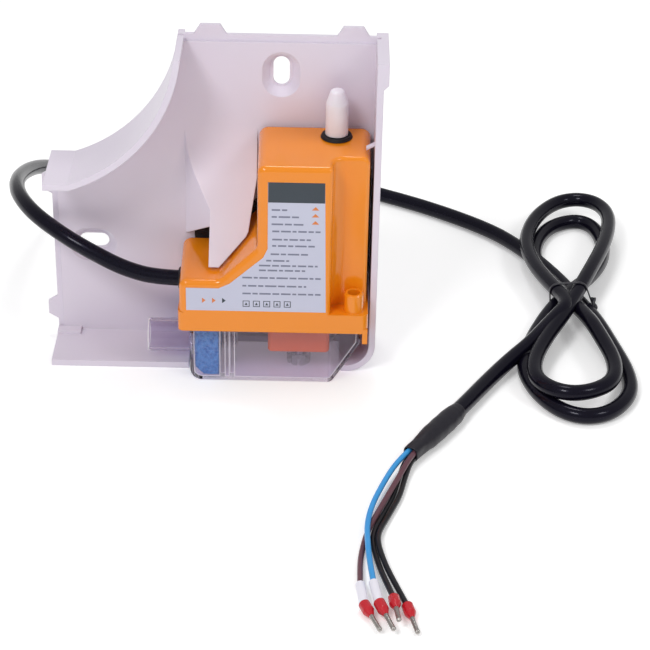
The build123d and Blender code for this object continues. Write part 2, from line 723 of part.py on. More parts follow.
strainer_low, strainer_high = tank_wall + 0.3, float_bottom - seat_gap
with BuildPart() as suction_strainer:
    with BuildSketch(section_plane):
        with BuildLine():
            half_section(
                (suction_radius + 0.02, strainer_high), (strainer_radius - 0.8, strainer_high),
                (strainer_radius - 0.8, strainer_high - 1.6), (strainer_radius, strainer_high - 2.6),
                (strainer_radius, strainer_low), (suction_radius + 1, strainer_low),
                (suction_radius + 1, tank_wall + 3.9), (suction_radius + 0.02, tank_wall + 3.9),
            )
        make_face()
    revolve(axis=upright)
    with Locations(pump_axis * Location((0, 0, strainer_low))):
        with PolarLocations(strainer_radius, 8):
            Box(2 * 1.8, 1.1, 3.4, align=(Align.CENTER, Align.CENTER, Align.MIN), mode=Mode.SUBTRACT)
suction_strainer.part.label = "suction_strainer"

with BuildPart() as inlet_fitting:
    with BuildSketch(section_plane):
        with BuildLine():
            half_section(
                (suction_radius + 0.02, inlet_z_low), (5.0, inlet_z_low), (5.0, inlet_z_high),
                (1.2, inlet_z_high), (1.2, inlet_z_low + 4.6), (suction_radius + 0.02, inlet_z_low + 4.6),
            )
        make_face()
    revolve(axis=upright)
inlet_fitting.part.label = "inlet_fitting"

with BuildPart() as pump_tube:
    with BuildSketch(level(inlet_z_high)):
        with Locations((pump_x, pump_y)):
            Circle(tube_outer)
            Circle(tube_inner, mode=Mode.SUBTRACT)
    extrude(amount=outlet_z_low - inlet_z_high)
pump_tube.part.label = "pump_tube"

with BuildPart() as outlet_fitting:
    with BuildSketch(section_plane):
        with BuildLine():
            half_section(
                (1.2, outlet_z_low), (5.0, outlet_z_low), (5.0, yoke_top + 8),
                (spigot_radius, yoke_top + 8), (spigot_radius, spigot_top), (1.2, spigot_top),
            )
        make_face()
    revolve(axis=upright)
outlet_fitting.part.label = "outlet_fitting"

with BuildPart() as coil_bobbin:
    with BuildSketch(section_plane):
        with BuildLine():
            low, high = yoke_bottom + yoke_sheet, yoke_top - yoke_sheet
            half_section(
                (tube_outer + 0.05, low), (bobbin_flange, low), (bobbin_flange, low + bobbin_sheet),
                (bobbin_hub, low + bobbin_sheet), (bobbin_hub, high - bobbin_sheet),
                (bobbin_flange, high - bobbin_sheet), (bobbin_flange, high), (tube_outer + 0.05, high),
            )
        make_face()
    revolve(axis=upright)
coil_bobbin.part.label = "coil_bobbin"

with BuildPart() as coil_winding:
    with BuildSketch(level(yoke_bottom + yoke_sheet + bobbin_sheet)):
        with Locations((pump_x, pump_y)):
            Circle(coil_radius)
            Circle(bobbin_hub, mode=Mode.SUBTRACT)
    extrude(amount=yoke_height - 2 * yoke_sheet - 2 * bobbin_sheet)
coil_winding.part.label = "coil_winding"

with BuildPart() as steel_yoke:
    with Locations((pump_x, pump_y, yoke_bottom)):
        Box(yoke_width, yoke_depth, yoke_height, align=(Align.CENTER, Align.CENTER, Align.MIN))
    with Locations((pump_x, pump_y, yoke_bottom + yoke_sheet)):
        Box(
            2 * yoke_width, yoke_depth - 2 * yoke_sheet, yoke_height - 2 * yoke_sheet,
            align=(Align.CENTER, Align.CENTER, Align.MIN), mode=Mode.SUBTRACT,
        )
    fillet(steel_yoke.edges().filter_by(Axis.X).filter_by(
        lambda e: abs(e.center().Y - pump_y) > yoke_depth / 2 - 0.1), 1.5)
    with BuildSketch(level(yoke_bottom - 1)):
        with Locations((pump_x, pump_y)):
            Circle(5.05)
    extrude(amount=yoke_sheet + 2, mode=Mode.SUBTRACT)
    with BuildSketch(level(yoke_top - yoke_sheet - 1)):
        with Locations((pump_x, pump_y)):
            Circle(tube_outer + 0.05)
    extrude(amount=yoke_sheet + 2, mode=Mode.SUBTRACT)
steel_yoke.part.label = "steel_yoke"

valve_height = 1.5
piston_low = inlet_z_high + valve_height + 6.3
with BuildPart() as pump_piston:
    with BuildSketch(level(piston_low)):
        with Locations((pump_x, pump_y)):
            Circle(tube_inner - running_gap)
            Circle(piston_bore, mode=Mode.SUBTRACT)
    extrude(amount=piston_length)
    chamfer(pump_piston.edges().filter_by(GeomType.CIRCLE).filter_by(
        lambda e: e.radius > 2), 0.4)
pump_piston.part.label = "pump_piston"

# rubber discs in front of the two seats
valve_lows = {"inlet_valve": inlet_z_high + 0.02, "outlet_valve": outlet_z_low - valve_height - 0.02}
for valve_name, valve_low in valve_lows.items():
    with BuildPart() as valve:
        with BuildSketch(level(valve_low)) as valve_plan:
            with Locations((pump_x, pump_y)):
                Circle(tube_inner - 0.05)
            with Locations(pump_axis):
                with PolarLocations(tube_inner, 3):
                    Circle(0.8, mode=Mode.SUBTRACT)
        extrude(amount=valve_height)
    valve.part.label = valve_name
    export_step(valve.part, f"parts/{valve_name}.step")

# springs above and below the piston
spring_spans = {
    "lower_spring": (inlet_z_high + valve_height, piston_low),
    "upper_spring": (piston_low + piston_length, outlet_z_low - valve_height),
}
for spring_name, (spring_low, spring_high) in spring_spans.items():
    coil_low, coil_high = spring_low + spring_wire + 0.05, spring_high - spring_wire - 0.05
    with BuildPart() as spring:
        with BuildLine() as spring_path:
            Helix(
                (coil_high - coil_low) / spring_turns, coil_high - coil_low, spring_radius,
                center=(pump_x, pump_y, coil_low),
            )
        with BuildSketch(Plane(spring_path.line @ 0, z_dir=spring_path.line % 0)):
            RegularPolygon(spring_wire, 6)
        sweep(path=spring_path.line, is_frenet=True)
    spring.part.label = spring_name
    export_step(spring.part, f"parts/{spring_name}.step")

with BuildPart() as lower_mount:
    with BuildSketch(section_plane):
        with BuildLine():
            half_section(
                (5.05, inlet_z_low), (5.05, yoke_bottom), (7.0, yoke_bottom), (7.0, yoke_bottom - 3),
                (6.0, yoke_bottom - 5), (8.5, floor_top + 2), (8.5, floor_top),
                (suction_radius + 0.3, floor_top), (suction_radius + 0.3, inlet_z_low),
            )
        make_face()
    revolve(axis=upright)
lower_mount.part.label = "lower_mount"

with BuildPart() as upper_mount:
    with BuildSketch(section_plane):
        with BuildLine():
            half_section(
                (5.02, shelf_z - 2), (mount_radius, shelf_z - 2), (mount_radius, shelf_z),
                (mount_groove, shelf_z), (mount_groove, shelf_z + shelf_thickness),
                (mount_radius, shelf_z + shelf_thickness), (mount_radius, shelf_z + shelf_thickness + 2),
                (5.02, shelf_z + shelf_thickness + 2),
            )
        make_face()
    revolve(axis=upright)
upper_mount.part.label = "upper_mount"

# ---------------------------------------------------------------- outlet
seat = -housing_wall - 1.0         # barb's collar under the rubber, below the tower's top
barb_low = outlet_top + seat - 7.5
hose_outer, hose_turn = 3.6, 4.4
outlet_axis = Axis((outlet_x, outlet_y, 0), (0, 0, 1))


def outlet_section(*points):
    """Closed half section about the outlet's axis, as (radius, height above the tower) points."""
    Polyline(*[(outlet_x + r, outlet_top + z) for r, z in points], close=True)


with BuildPart() as outlet_barb:
    with BuildSketch(front_plane(outlet_y)):
        with BuildLine():
            barb, top = outlet_radius + 0.4, outlet_height
            outlet_section(
                (outlet_bore, seat - 6.0), (spigot_radius, seat - 6.0), (spigot_radius, seat - 1.4),
                (4.4, seat - 1.4), (4.4, seat), (outlet_radius, seat), (outlet_radius, top - 8.5),
                (barb, top - 8.5),
                (outlet_radius, top - 5.5), (outlet_radius, top - 3.6), (barb, top - 3.6),
                (outlet_radius - 0.3, top), (outlet_bore, top),
            )
        make_face()
    revolve(axis=outlet_axis)
outlet_barb.part.label = "outlet_barb"

with BuildPart() as outlet_grommet:
    with BuildSketch(front_plane(outlet_y)):
        with BuildLine():
            outlet_section(
                (outlet_radius + 0.02, seat + 0.05), (5.8, seat + 0.05), (5.8, seat + 0.8),
                (grommet_neck - 0.05, seat + 0.8), (grommet_neck - 0.05, 0.2), (grommet_flange, 0.2),
                (grommet_flange - 0.5, grommet_top), (outlet_radius + 0.02, grommet_top),
            )
        make_face()
    revolve(axis=outlet_axis)
outlet_grommet.part.label = "outlet_grommet"

with BuildPart() as discharge_cap:
    with BuildSketch(front_plane(outlet_y)):
        with BuildLine():
            cap_low = outlet_top + grommet_top + seat_gap
            cap_top = outlet_top + grommet_top + cap_height
            cap_bore = outlet_radius + 0.45
            roof = outlet_top + outlet_height + 0.6
            cap_side = Polyline(
                (outlet_x + cap_radius, cap_low), (outlet_x + cap_radius - 0.15, cap_top - cap_tip),
                (outlet_x + 3.0, cap_top - 1.4),
            )
            tip = (outlet_x + 1.2, cap_top)
            ThreePointArc(cap_side @ 1, (outlet_x + 2.45, cap_top - 0.4), tip)
            Polyline(
                tip, (outlet_x, cap_top), (outlet_x, roof), (outlet_x + 2.9, roof),
                (outlet_x + cap_bore, roof - 3.7), (outlet_x + cap_bore, cap_low), cap_side @ 0,
            )
        make_face()
    revolve(axis=outlet_axis)
discharge_cap.part.label = "discharge_cap"

hose_points = [
    (pump_x, pump_y, yoke_top + 8.0), (pump_x, pump_y, barb_low - 2.6),
    (outlet_x, outlet_y, barb_low - 2.0), (outlet_x, outlet_y, outlet_top + seat - 1.4),
]
with BuildPart() as discharge_hose:
    with BuildLine() as hose_path:
        FilletPolyline(*hose_points, radius=hose_turn)
    with BuildSketch(level(hose_points[0][2])):
        with Locations((pump_x, pump_y)):
            Circle(hose_outer)
            Circle(spigot_radius + 0.05, mode=Mode.SUBTRACT)
    sweep(path=hose_path.line)
discharge_hose.part.label = "discharge_hose"

# ---------------------------------------------------------------- circuit board
with BuildPart() as circuit_board:
    with BuildSketch(level(floor_top + board_gap)) as board_plan:
        with Locations((board_left, board_front)):
            Rectangle(board_right - board_left, board_back - board_front, align=(Align.MIN, Align.MIN))
        fillet(board_plan.vertices(), 1)
        with Locations(*board_posts):
            Circle(1.1, mode=Mode.SUBTRACT)
    extrude(amount=board_thickness)
circuit_board.part.label = "circuit_board"
board_top = floor_top + board_gap + board_thickness

with BuildPart() as board_screws:
    with BuildSketch(level(floor_bottom + 0.5)):
        with Locations(board_posts[0], board_posts[3]):
            Circle(0.75)
    extrude(amount=board_top - floor_bottom - 0.5)
    with BuildSketch(level(board_top)):
        with Locations(board_posts[0], board_posts[3]):
            Circle(1.8)
    extrude(amount=1.2)
board_screws.part.label = "board_screws"

with BuildPart() as terminal_block:
    with Locations((board_left + 1, board_back - 0.4, board_top)):
        Box(12.6, 7.6, 7.6, align=(Align.MIN, Align.MAX, Align.MIN))
    with Locations((board_left + 1, board_back - 8, board_top)):
        for way in range(4):
            with Locations((1.9 + 3.07 * way, 0, 2.6)):
                Box(2.1, 8, 2.2, mode=Mode.SUBTRACT)
            with Locations((1.9 + 3.07 * way, 3.9, 7.6)):
                Cylinder(1.1, 3, mode=Mode.SUBTRACT)
terminal_block.part.label = "terminal_block"

with BuildPart() as smoothing_capacitor:
    with Locations((board_left + 6.5, board_front + 8.0, board_top)):
        Cylinder(3.15, 8.0, align=(Align.CENTER, Align.CENTER, Align.MIN))
    fillet(smoothing_capacitor.edges().filter_by(GeomType.CIRCLE).sort_by(Axis.Z)[-1], 0.5)
smoothing_capacitor.part.label = "smoothing_capacitor"

with BuildPart() as film_capacitor:
    with Locations((tower_left - 0.5, board_front + 8.5, board_top)):
        Box(5.5, 11, 9.0, align=(Align.CENTER, Align.CENTER, Align.MIN))
    fillet(film_capacitor.edges().filter_by(Axis.Z), 0.6)
film_capacitor.part.label = "film_capacitor"

with BuildPart() as thermal_fuse:
    with BuildSketch(side_plane(tower_left - 7.5)):
        with Locations((board_back - 3.4, board_top + 1.7)):
            Circle(1.65)
    extrude(amount=9.0)
thermal_fuse.part.label = "thermal_fuse"

with BuildPart() as hall_sensor:
    with Locations((board_right - 1.9, pump_y, floor_top + board_gap)):
        Box(3.2, 4.1, board_gap - 0.25, align=(Align.CENTER, Align.CENTER, Align.MAX))
hall_sensor.part.label = "hall_sensor"

# rubber sleeve that the cable passes through the left wall in
with BuildPart() as cable_gland:
    with BuildSketch(front_plane(gland_y)):
        with BuildLine():
            bore, neck, brim = cable_radius + 0.02, cable_radius + 1.45, cable_radius + 2.4
            inner = gland_face + housing_wall + 0.15
            Polyline(
                (gland_face - 0.9, gland_z + bore), (gland_face - 0.9, gland_z + neck - 0.6),
                (gland_face - 0.3, gland_z + neck), (inner, gland_z + neck), (inner, gland_z + brim),
                (inner + 1.2, gland_z + brim), (inner + 1.2, gland_z + bore), close=True,
            )
        make_face()
    revolve(axis=Axis((0, gland_y, gland_z), (1, 0, 0)))
cable_gland.part.label = "cable_gland"

# ---------------------------------------------------------------- mains cable
def bend_radii(points):
    """Radius of each bend: 0.45 of the shorter run over the tangent of half the turn."""
    radii = []
    for before, here, after in zip(points, points[1:], points[2:]):
        run_in, run_out = Vector(*here) - Vector(*before), Vector(*after) - Vector(*here)
        half_turn = radians(run_in.get_angle(run_out)) / 2
        radii.append(0.45 * min(run_in.length, run_out.length) / tan(half_turn))
    return radii


def cord_tube(name, points, radius):
    """Round tube along straight runs and tangent arcs."""
    radii = bend_radii(points)
    with BuildPart() as tube:
        with BuildLine() as route:
            FilletPolyline(*points, radius=radii)
        with BuildSketch(Plane(points[0], z_dir=Vector(*points[1]) - Vector(*points[0]))):
            Circle(radius)
        sweep(path=route.line)
    tube.part.label = name
    length = sum(edge.length for edge in route.edges())
    print(name, "length", round(length, 1), "smallest bend", round(min(radii), 1),
          "volume ratio", round(tube.part.volume / (pi * radius**2 * length), 4))
    return tube


surface = cable_radius + 0.05      # height of the cable's middle where it lies flat
cable_start = pump_left + 4.2
cable_route = [
    (cable_start, gland_y, gland_z), (-22.0, gland_y, gland_z), (-36.0, -3.0, 43.5),
    (-50.0, 0.2, 49.6), (-61.5, 5.0, 54.2), (-75.0, 16.5, 58.0), (-83.5, 33.0, 58.0), (-87.8, 54.0, 53.8),
    (-88.5, 78.0, 46.5), (-86.0, 104.0, 37.0), (-80.0, 130.0, 24.0), (-69.0, 152.0, 12.0),
    (-49.0, 168.0, 4.8), (-21.0, 175.0, surface), (12.0, 173.0, surface), (43.0, 164.5, surface),
    (73.3, 149.2, surface), (99.3, 133.9, surface), (124.3, 114.5, surface), (138.6, 97.0, surface),
]
power_cable = cord_tube("power_cable", cable_route, cable_radius)

# figure-eight hank: two open lobes that meet at a waist
hank_height = 14.2
waist_x, waist_y, waist_width, waist_length = 155.5, 42.0, 19.6, 12.0
hank_lobes = ((160.5, 94.0, 24.5, 47.0, -7.0), (153.5, -8.0, 26.0, 43.5, -4.0))
lobe_band = 9.0
with BuildPart() as cable_hank:
    with BuildSketch(level(0)):
        for lobe_x, lobe_y, half_width, half_length, tilt in hank_lobes:
            with Locations((lobe_x, lobe_y)):
                Ellipse(half_width, half_length, rotation=tilt)
        with Locations((waist_x, waist_y)):
            Rectangle(waist_width, waist_length + 8)
        for lobe_x, lobe_y, half_width, half_length, tilt in hank_lobes:
            with Locations((lobe_x, lobe_y)):
                Ellipse(
                    half_width - lobe_band, half_length - 1.6 * lobe_band, rotation=tilt,
                    mode=Mode.SUBTRACT,
                )
    extrude(amount=hank_height)
    with Locations((waist_x, waist_y, 0)):
        Box(3 * waist_width, waist_length / 2, 1.6, mode=Mode.SUBTRACT)
cable_hank.part.label = "cable_hank"

tie_thickness, tie_width, tie_tail = 0.8, 1.8, 8.0
tie_inner = waist_width + 1.6
with BuildPart() as twist_tie:
    with BuildSketch(front_plane(waist_y + tie_width / 2)):
        with Locations((waist_x, hank_height / 2 + 0.4)):
            RectangleRounded(tie_inner + 2 * tie_thickness, hank_height + 0.8, 1.6)
            RectangleRounded(tie_inner, hank_height - 0.8, 0.8, mode=Mode.SUBTRACT)
    extrude(amount=tie_width)
    with BuildSketch(level(hank_height * 0.35)):
        with Locations((waist_x + tie_inner / 2 + tie_thickness / 2, waist_y + 0.5)):
            Rectangle(tie_thickness, tie_tail, align=(Align.CENTER, Align.MAX))
    extrude(amount=tie_width)
twist_tie.part.label = "twist_tie"

# heat-shrink sleeve over the end of the jacket
sleeve_start, sleeve_heading = Vector(102.6, -46.9, sleeve_radius), Vector(-0.534, -0.8455, 0)
jacket_end = sleeve_start + sleeve_heading * (sleeve_length - 2)
tail_route = [
    (130.5, -2.2, 4.8), (114.9, -24.2, surface + 0.4),
    (sleeve_start.X, sleeve_start.Y, sleeve_start.Z), (jacket_end.X, jacket_end.Y, jacket_end.Z),
]
cable_tail = cord_tube("cable_tail", tail_route, cable_radius)

with BuildPart() as heat_shrink:
    with BuildSketch(Plane(sleeve_start, x_dir=sleeve_heading, z_dir=Vector(0, 0, 1).cross(sleeve_heading))):
        with BuildLine():
            Polyline(
                (0, cable_radius + 0.02), (0, cable_radius + 0.5), (3.5, sleeve_radius),
                (sleeve_length - 5, sleeve_radius), (sleeve_length, sleeve_mouth_radius + 0.5),
                (sleeve_mouth, sleeve_mouth_radius), (sleeve_mouth, sleeve_mouth_bore),
                (sleeve_length - 1.9, sleeve_mouth_bore), (sleeve_length - 1.9, cable_radius + 0.02),
                close=True,
            )
        make_face()
    revolve(axis=Axis(sleeve_start, sleeve_heading))
heat_shrink.part.label = "heat_shrink"

# four conductors, from the end of the jacket to their ferrules
across = Vector(0, 0, 1).cross(sleeve_heading) * -1.15
mouth = sleeve_start + sleeve_heading * (sleeve_mouth + 1)


def conductor_route(side, lift, places):
    """Route that starts in the sleeve at one of four corners and follows its own places."""
    start = jacket_end + across * side + Vector(0, 0, 1.15 * lift)
    leave = mouth + across * side + Vector(0, 0, 1.15 * lift)
    return [(start.X, start.Y, start.Z), (leave.X, leave.Y, leave.Z - 0.2), *places]


conductor_routes = {
    "blue_wire": conductor_route(1, 1, [
        (75.4, -88.3, 4.9), (71.0, -99.8, 4.3), (66.9, -112.4, 3.8), (64.9, -124.3, 3.6),
        (65.1, -136.8, 3.6), (65.8, -149.0, 3.7), (67.0, -161.0, 4.2)]),
    "brown_wire": conductor_route(-1, 1, [
        (77.9, -93.1, 4.4), (74.3, -102.4, 3.8), (70.6, -112.4, 3.4), (66.9, -121.0, 1.8),
        (64.7, -128.0, 1.2), (63.0, -138.0, 1.2), (62.1, -148.0, 1.6), (62.2, -160.2, 2.6)]),
    "black_wire_1": conductor_route(1, -1, [
        (77.6, -91.2, 1.6), (75.4, -102.6, 1.2), (72.9, -110.0, 1.2), (69.6, -119.5, 1.2),
        (67.3, -127.5, 1.2), (67.1, -134.5, 1.2), (68.7, -144.6, 1.3), (70.8, -155.0, 1.8),
        (74.1, -168.8, 3.4)]),
    "black_wire_2": conductor_route(-1, -1, [
        (80.0, -91.8, 2.3), (77.8, -103.4, 2.0), (75.2, -111.0, 2.0), (71.9, -120.2, 2.0),
        (69.3, -128.2, 2.5), (68.9, -135.4, 2.8), (71.0, -146.0, 2.4), (74.0, -156.5, 2.2),
        (78.9, -171.7, 2.3)]),
}
conductors = [
    cord_tube(wire_name, route, conductor_radius) for wire_name, route in conductor_routes.items()
]

# white marker sleeves on the blue and the brown, then a red collar and a pin on each
marker_length, marker_radius = 11.4, 1.8
collar_length, collar_radius, pin_length, pin_radius = 7.0, 2.15, 8.5, 0.95
wire_ends = {
    "blue_wire": (marker_length, (0.16, -0.98, -0.02), (0.33, -0.94, -0.05)),
    "brown_wire": (marker_length, (0.12, -0.99, -0.01), (0.36, -0.93, -0.02)),
    "black_wire_1": (0.0, (0.14, -0.99, 0.06), (0.10, -0.99, 0.12)),
    "black_wire_2": (0.0, (0.20, -0.98, -0.01), (0.22, -0.975, -0.02)),
}
with BuildPart() as marker_sleeves:
    for wire_name, (marker, marker_heading, ferrule_heading) in wire_ends.items():
        if marker:
            end = Vector(*conductor_routes[wire_name][-1])
            with BuildSketch(Plane(end, z_dir=marker_heading)):
                Circle(marker_radius)
            extrude(amount=marker)
marker_sleeves.part.label = "marker_sleeves"

with BuildPart() as ferrule_collars:
    for wire_name, (marker, marker_heading, ferrule_heading) in wire_ends.items():
        start = Vector(*conductor_routes[wire_name][-1]) + Vector(*marker_heading).normalized() * marker
        with BuildSketch(Plane(start, z_dir=ferrule_heading)):
            Circle(collar_radius)
        extrude(amount=collar_length * 0.6)
        with BuildSketch(Plane(start, z_dir=ferrule_heading).offset(collar_length * 0.6)):
            Circle(collar_radius)
        extrude(amount=collar_length * 0.4, taper=22)
ferrule_collars.part.label = "ferrule_collars"

with BuildPart() as ferrule_pins:
    for wire_name, (marker, marker_heading, ferrule_heading) in wire_ends.items():
        start = Vector(*conductor_routes[wire_name][-1]) + Vector(*marker_heading).normalized() * marker
        with BuildSketch(Plane(start, z_dir=ferrule_heading).offset(collar_length)):
            Circle(pin_radius)
        extrude(amount=pin_length)
ferrule_pins.part.label = "ferrule_pins"

finished = [
    housing_back, housing_screws, rating_label, backing_foam, reservoir, filter_foam, float_body,
    float_magnet, suction_tube, suction_strainer, inlet_fitting, pump_tube, outlet_fitting,
    coil_bobbin, coil_winding, steel_yoke, pump_piston, lower_mount, upper_mount, outlet_barb,
    outlet_grommet, discharge_cap, discharge_hose, circuit_board, board_screws, terminal_block,
    smoothing_capacitor, film_capacitor, thermal_fuse, hall_sensor, cable_gland, power_cable,
    cable_hank, twist_tie, cable_tail, heat_shrink, *conductors, marker_sleeves, ferrule_collars,
    ferrule_pins,
]
for piece in finished:
    print(piece.part.label, piece.part.is_valid, round(piece.part.volume, 1), len(piece.part.solids()))
    export_step(piece.part, f"parts/{piece.part.label}.step")
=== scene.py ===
"""Looks for the condensate pump: every finish, the soft pieces and the mains lead.

Everything is in metres in the frame of the CAD: +Z up, front -Y, and the table at Z = 0.
"""
import math

import bpy
import numpy as np
from mathutils import Matrix, Vector


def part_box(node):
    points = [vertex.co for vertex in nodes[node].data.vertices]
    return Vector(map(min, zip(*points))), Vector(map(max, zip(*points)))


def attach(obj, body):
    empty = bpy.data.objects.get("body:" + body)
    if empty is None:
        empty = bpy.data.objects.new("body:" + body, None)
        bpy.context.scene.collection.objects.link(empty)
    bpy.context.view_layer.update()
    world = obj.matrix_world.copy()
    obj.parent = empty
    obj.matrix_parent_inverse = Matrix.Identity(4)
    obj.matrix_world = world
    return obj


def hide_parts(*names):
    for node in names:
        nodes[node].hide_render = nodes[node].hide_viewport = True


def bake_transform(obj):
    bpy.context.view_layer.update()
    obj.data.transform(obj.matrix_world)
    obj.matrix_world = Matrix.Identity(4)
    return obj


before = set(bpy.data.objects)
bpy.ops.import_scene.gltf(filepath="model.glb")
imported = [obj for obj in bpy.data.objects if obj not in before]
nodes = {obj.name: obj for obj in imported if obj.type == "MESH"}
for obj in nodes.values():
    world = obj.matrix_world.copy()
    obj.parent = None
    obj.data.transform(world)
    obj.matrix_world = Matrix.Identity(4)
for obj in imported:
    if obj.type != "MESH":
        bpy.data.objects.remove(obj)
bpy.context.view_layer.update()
MM = 0.001


# ---------------------------------------------------------------- camera and table
# A camera a little under 0.9 m away looks down on the front of the elbow. The table is a plain
# pale sheet of melamine, and two soft lamps and a pale room light the object.
distance_left, distance_front, eye_height = 0.04637, -0.76485, 0.46561
tilt_down, turn, roll = 0.531, 0.002, 0.021
sensor, focal = 36.0, 116.33

eye = bpy.data.cameras.new("eye")
eye.sensor_width = sensor
eye.lens = focal
eye.clip_start, eye.clip_end = 0.01, 20.0
camera = bpy.data.objects.new("eye", eye)
bpy.context.scene.collection.objects.link(camera)
camera.matrix_world = (
    Matrix.Translation((distance_left, distance_front, eye_height))
    @ Matrix.Rotation(-turn, 4, "Z")
    @ Matrix.Rotation(math.pi / 2 - tilt_down, 4, "X")
    @ Matrix.Rotation(roll, 4, "Z")
)
bpy.context.scene.camera = camera
bpy.context.scene.view_settings.view_transform = "Standard"


def linear(hex_colour):
    """sRGB hex text to linear red, green, blue and an alpha of 1."""
    parts = [int(hex_colour[i:i + 2], 16) / 255 for i in (1, 3, 5)]
    return (*[p / 12.92 if p <= 0.04045 else ((p + 0.055) / 1.055) ** 2.4 for p in parts], 1.0)


def add_node(tree, kind, settings=None, **links):
    """Adds one shader node, with settings by attribute or socket name, and links by socket name."""
    node = tree.nodes.new(kind)
    for name, value in (settings or {}).items():
        if hasattr(node, name) and name not in node.inputs:
            setattr(node, name, value)
        else:
            node.inputs[name].default_value = value
    for name, source in links.items():
        tree.links.new(source, node.inputs[name.replace("_", " ")])
    return node


def blank_material(name):
    """A new material with a Principled shader; gives the material, its tree and the shader."""
    material = bpy.data.materials.new(name)
    material.use_nodes = True
    return material, material.node_tree, material.node_tree.nodes["Principled BSDF"]


def add_surface(name, grid, wrap=(False, False), caps=False):
    """Mesh object over a (rows, columns, 3) grid of points; wrap joins the last row or column to
    the first, and caps closes both end rows with a flat face."""
    rows, columns = grid.shape[:2]
    index = np.arange(rows * columns).reshape(rows, columns)
    if wrap[0]:
        index = np.vstack([index, index[:1]])
    if wrap[1]:
        index = np.hstack([index, index[:, :1]])
    quads = np.stack([index[:-1, :-1], index[:-1, 1:], index[1:, 1:], index[1:, :-1]], -1)
    faces = quads.reshape(-1, 4).tolist()
    if caps:
        ring = np.arange(columns)
        faces += [ring[::-1].tolist(), (ring + (rows - 1) * columns).tolist()]
    mesh = bpy.data.meshes.new(name)
    mesh.from_pydata(grid.reshape(-1, 3).tolist(), [], faces)
    mesh.shade_smooth()
    piece = bpy.data.objects.new(name, mesh)
    bpy.context.scene.collection.objects.link(piece)
    return piece


def give(piece, material):
    """Puts one material on a piece in place of what it has."""
    piece.data.materials.clear()
    piece.data.materials.append(material)
    return piece


# melamine board: smooth and pale, with no pattern that shows at this size
melamine, tree, shader = blank_material("melamine_table")
shader.inputs["Base Color"].default_value = linear("#ffffff")
shader.inputs["Roughness"].default_value = 0.7
shader.inputs["Specular IOR Level"].default_value = 0.1
# a little light of its own towards the eye keeps it white round the object's faint shadow
ray = add_node(tree, "ShaderNodeLightPath")
shader.inputs["Emission Color"].default_value = linear("#ffffff")
seen = add_node(tree, "ShaderNodeMath", {"operation": "MAXIMUM"})
tree.links.new(ray.outputs["Is Camera Ray"], seen.inputs[0])
tree.links.new(ray.outputs["Is Glossy Ray"], seen.inputs[1])
seen_through = add_node(tree, "ShaderNodeMath", {"operation": "MAXIMUM"})
tree.links.new(seen.outputs["Value"], seen_through.inputs[0])
tree.links.new(ray.outputs["Is Transmission Ray"], seen_through.inputs[1])
glow = add_node(tree, "ShaderNodeMath", {"operation": "MULTIPLY"})
tree.links.new(seen_through.outputs["Value"], glow.inputs[0])
glow.inputs[1].default_value = 0.22
tree.links.new(glow.outputs["Value"], shader.inputs["Emission Strength"])
table_span = np.array([-3.0, 3.0])
corner_x, corner_y = np.meshgrid(table_span, table_span)
table = add_surface("table", np.stack([corner_x, corner_y, 0 * corner_x], -1))
give(table, melamine)

room = bpy.data.worlds.new("room")
bpy.context.scene.world = room
room.use_nodes = True
room.node_tree.nodes["Background"].inputs["Color"].default_value = linear("#ffffff")
room.node_tree.nodes["Background"].inputs["Strength"].default_value = 0.5
lamp_target = Vector((0.03, 0.0, 0.05))
for lamp_name, place, size, power in (
    ("front_lamp", (-0.55, -0.95, 1.25), 0.42, 9.0),
    ("side_lamp", (0.85, -0.45, 0.95), 0.3, 2.5),
    ("top_lamp", (0.0, 0.45, 1.3), 0.3, 2.5),
):
    lamp = bpy.data.lights.new(lamp_name, "AREA")
    lamp.size = size
    lamp.energy = power
    holder = bpy.data.objects.new(lamp_name, lamp)
    bpy.context.scene.collection.objects.link(holder)
    holder.location = place
    aim = lamp_target - Vector(place)
    holder.rotation_euler = aim.to_track_quat("-Z", "Y").to_euler()


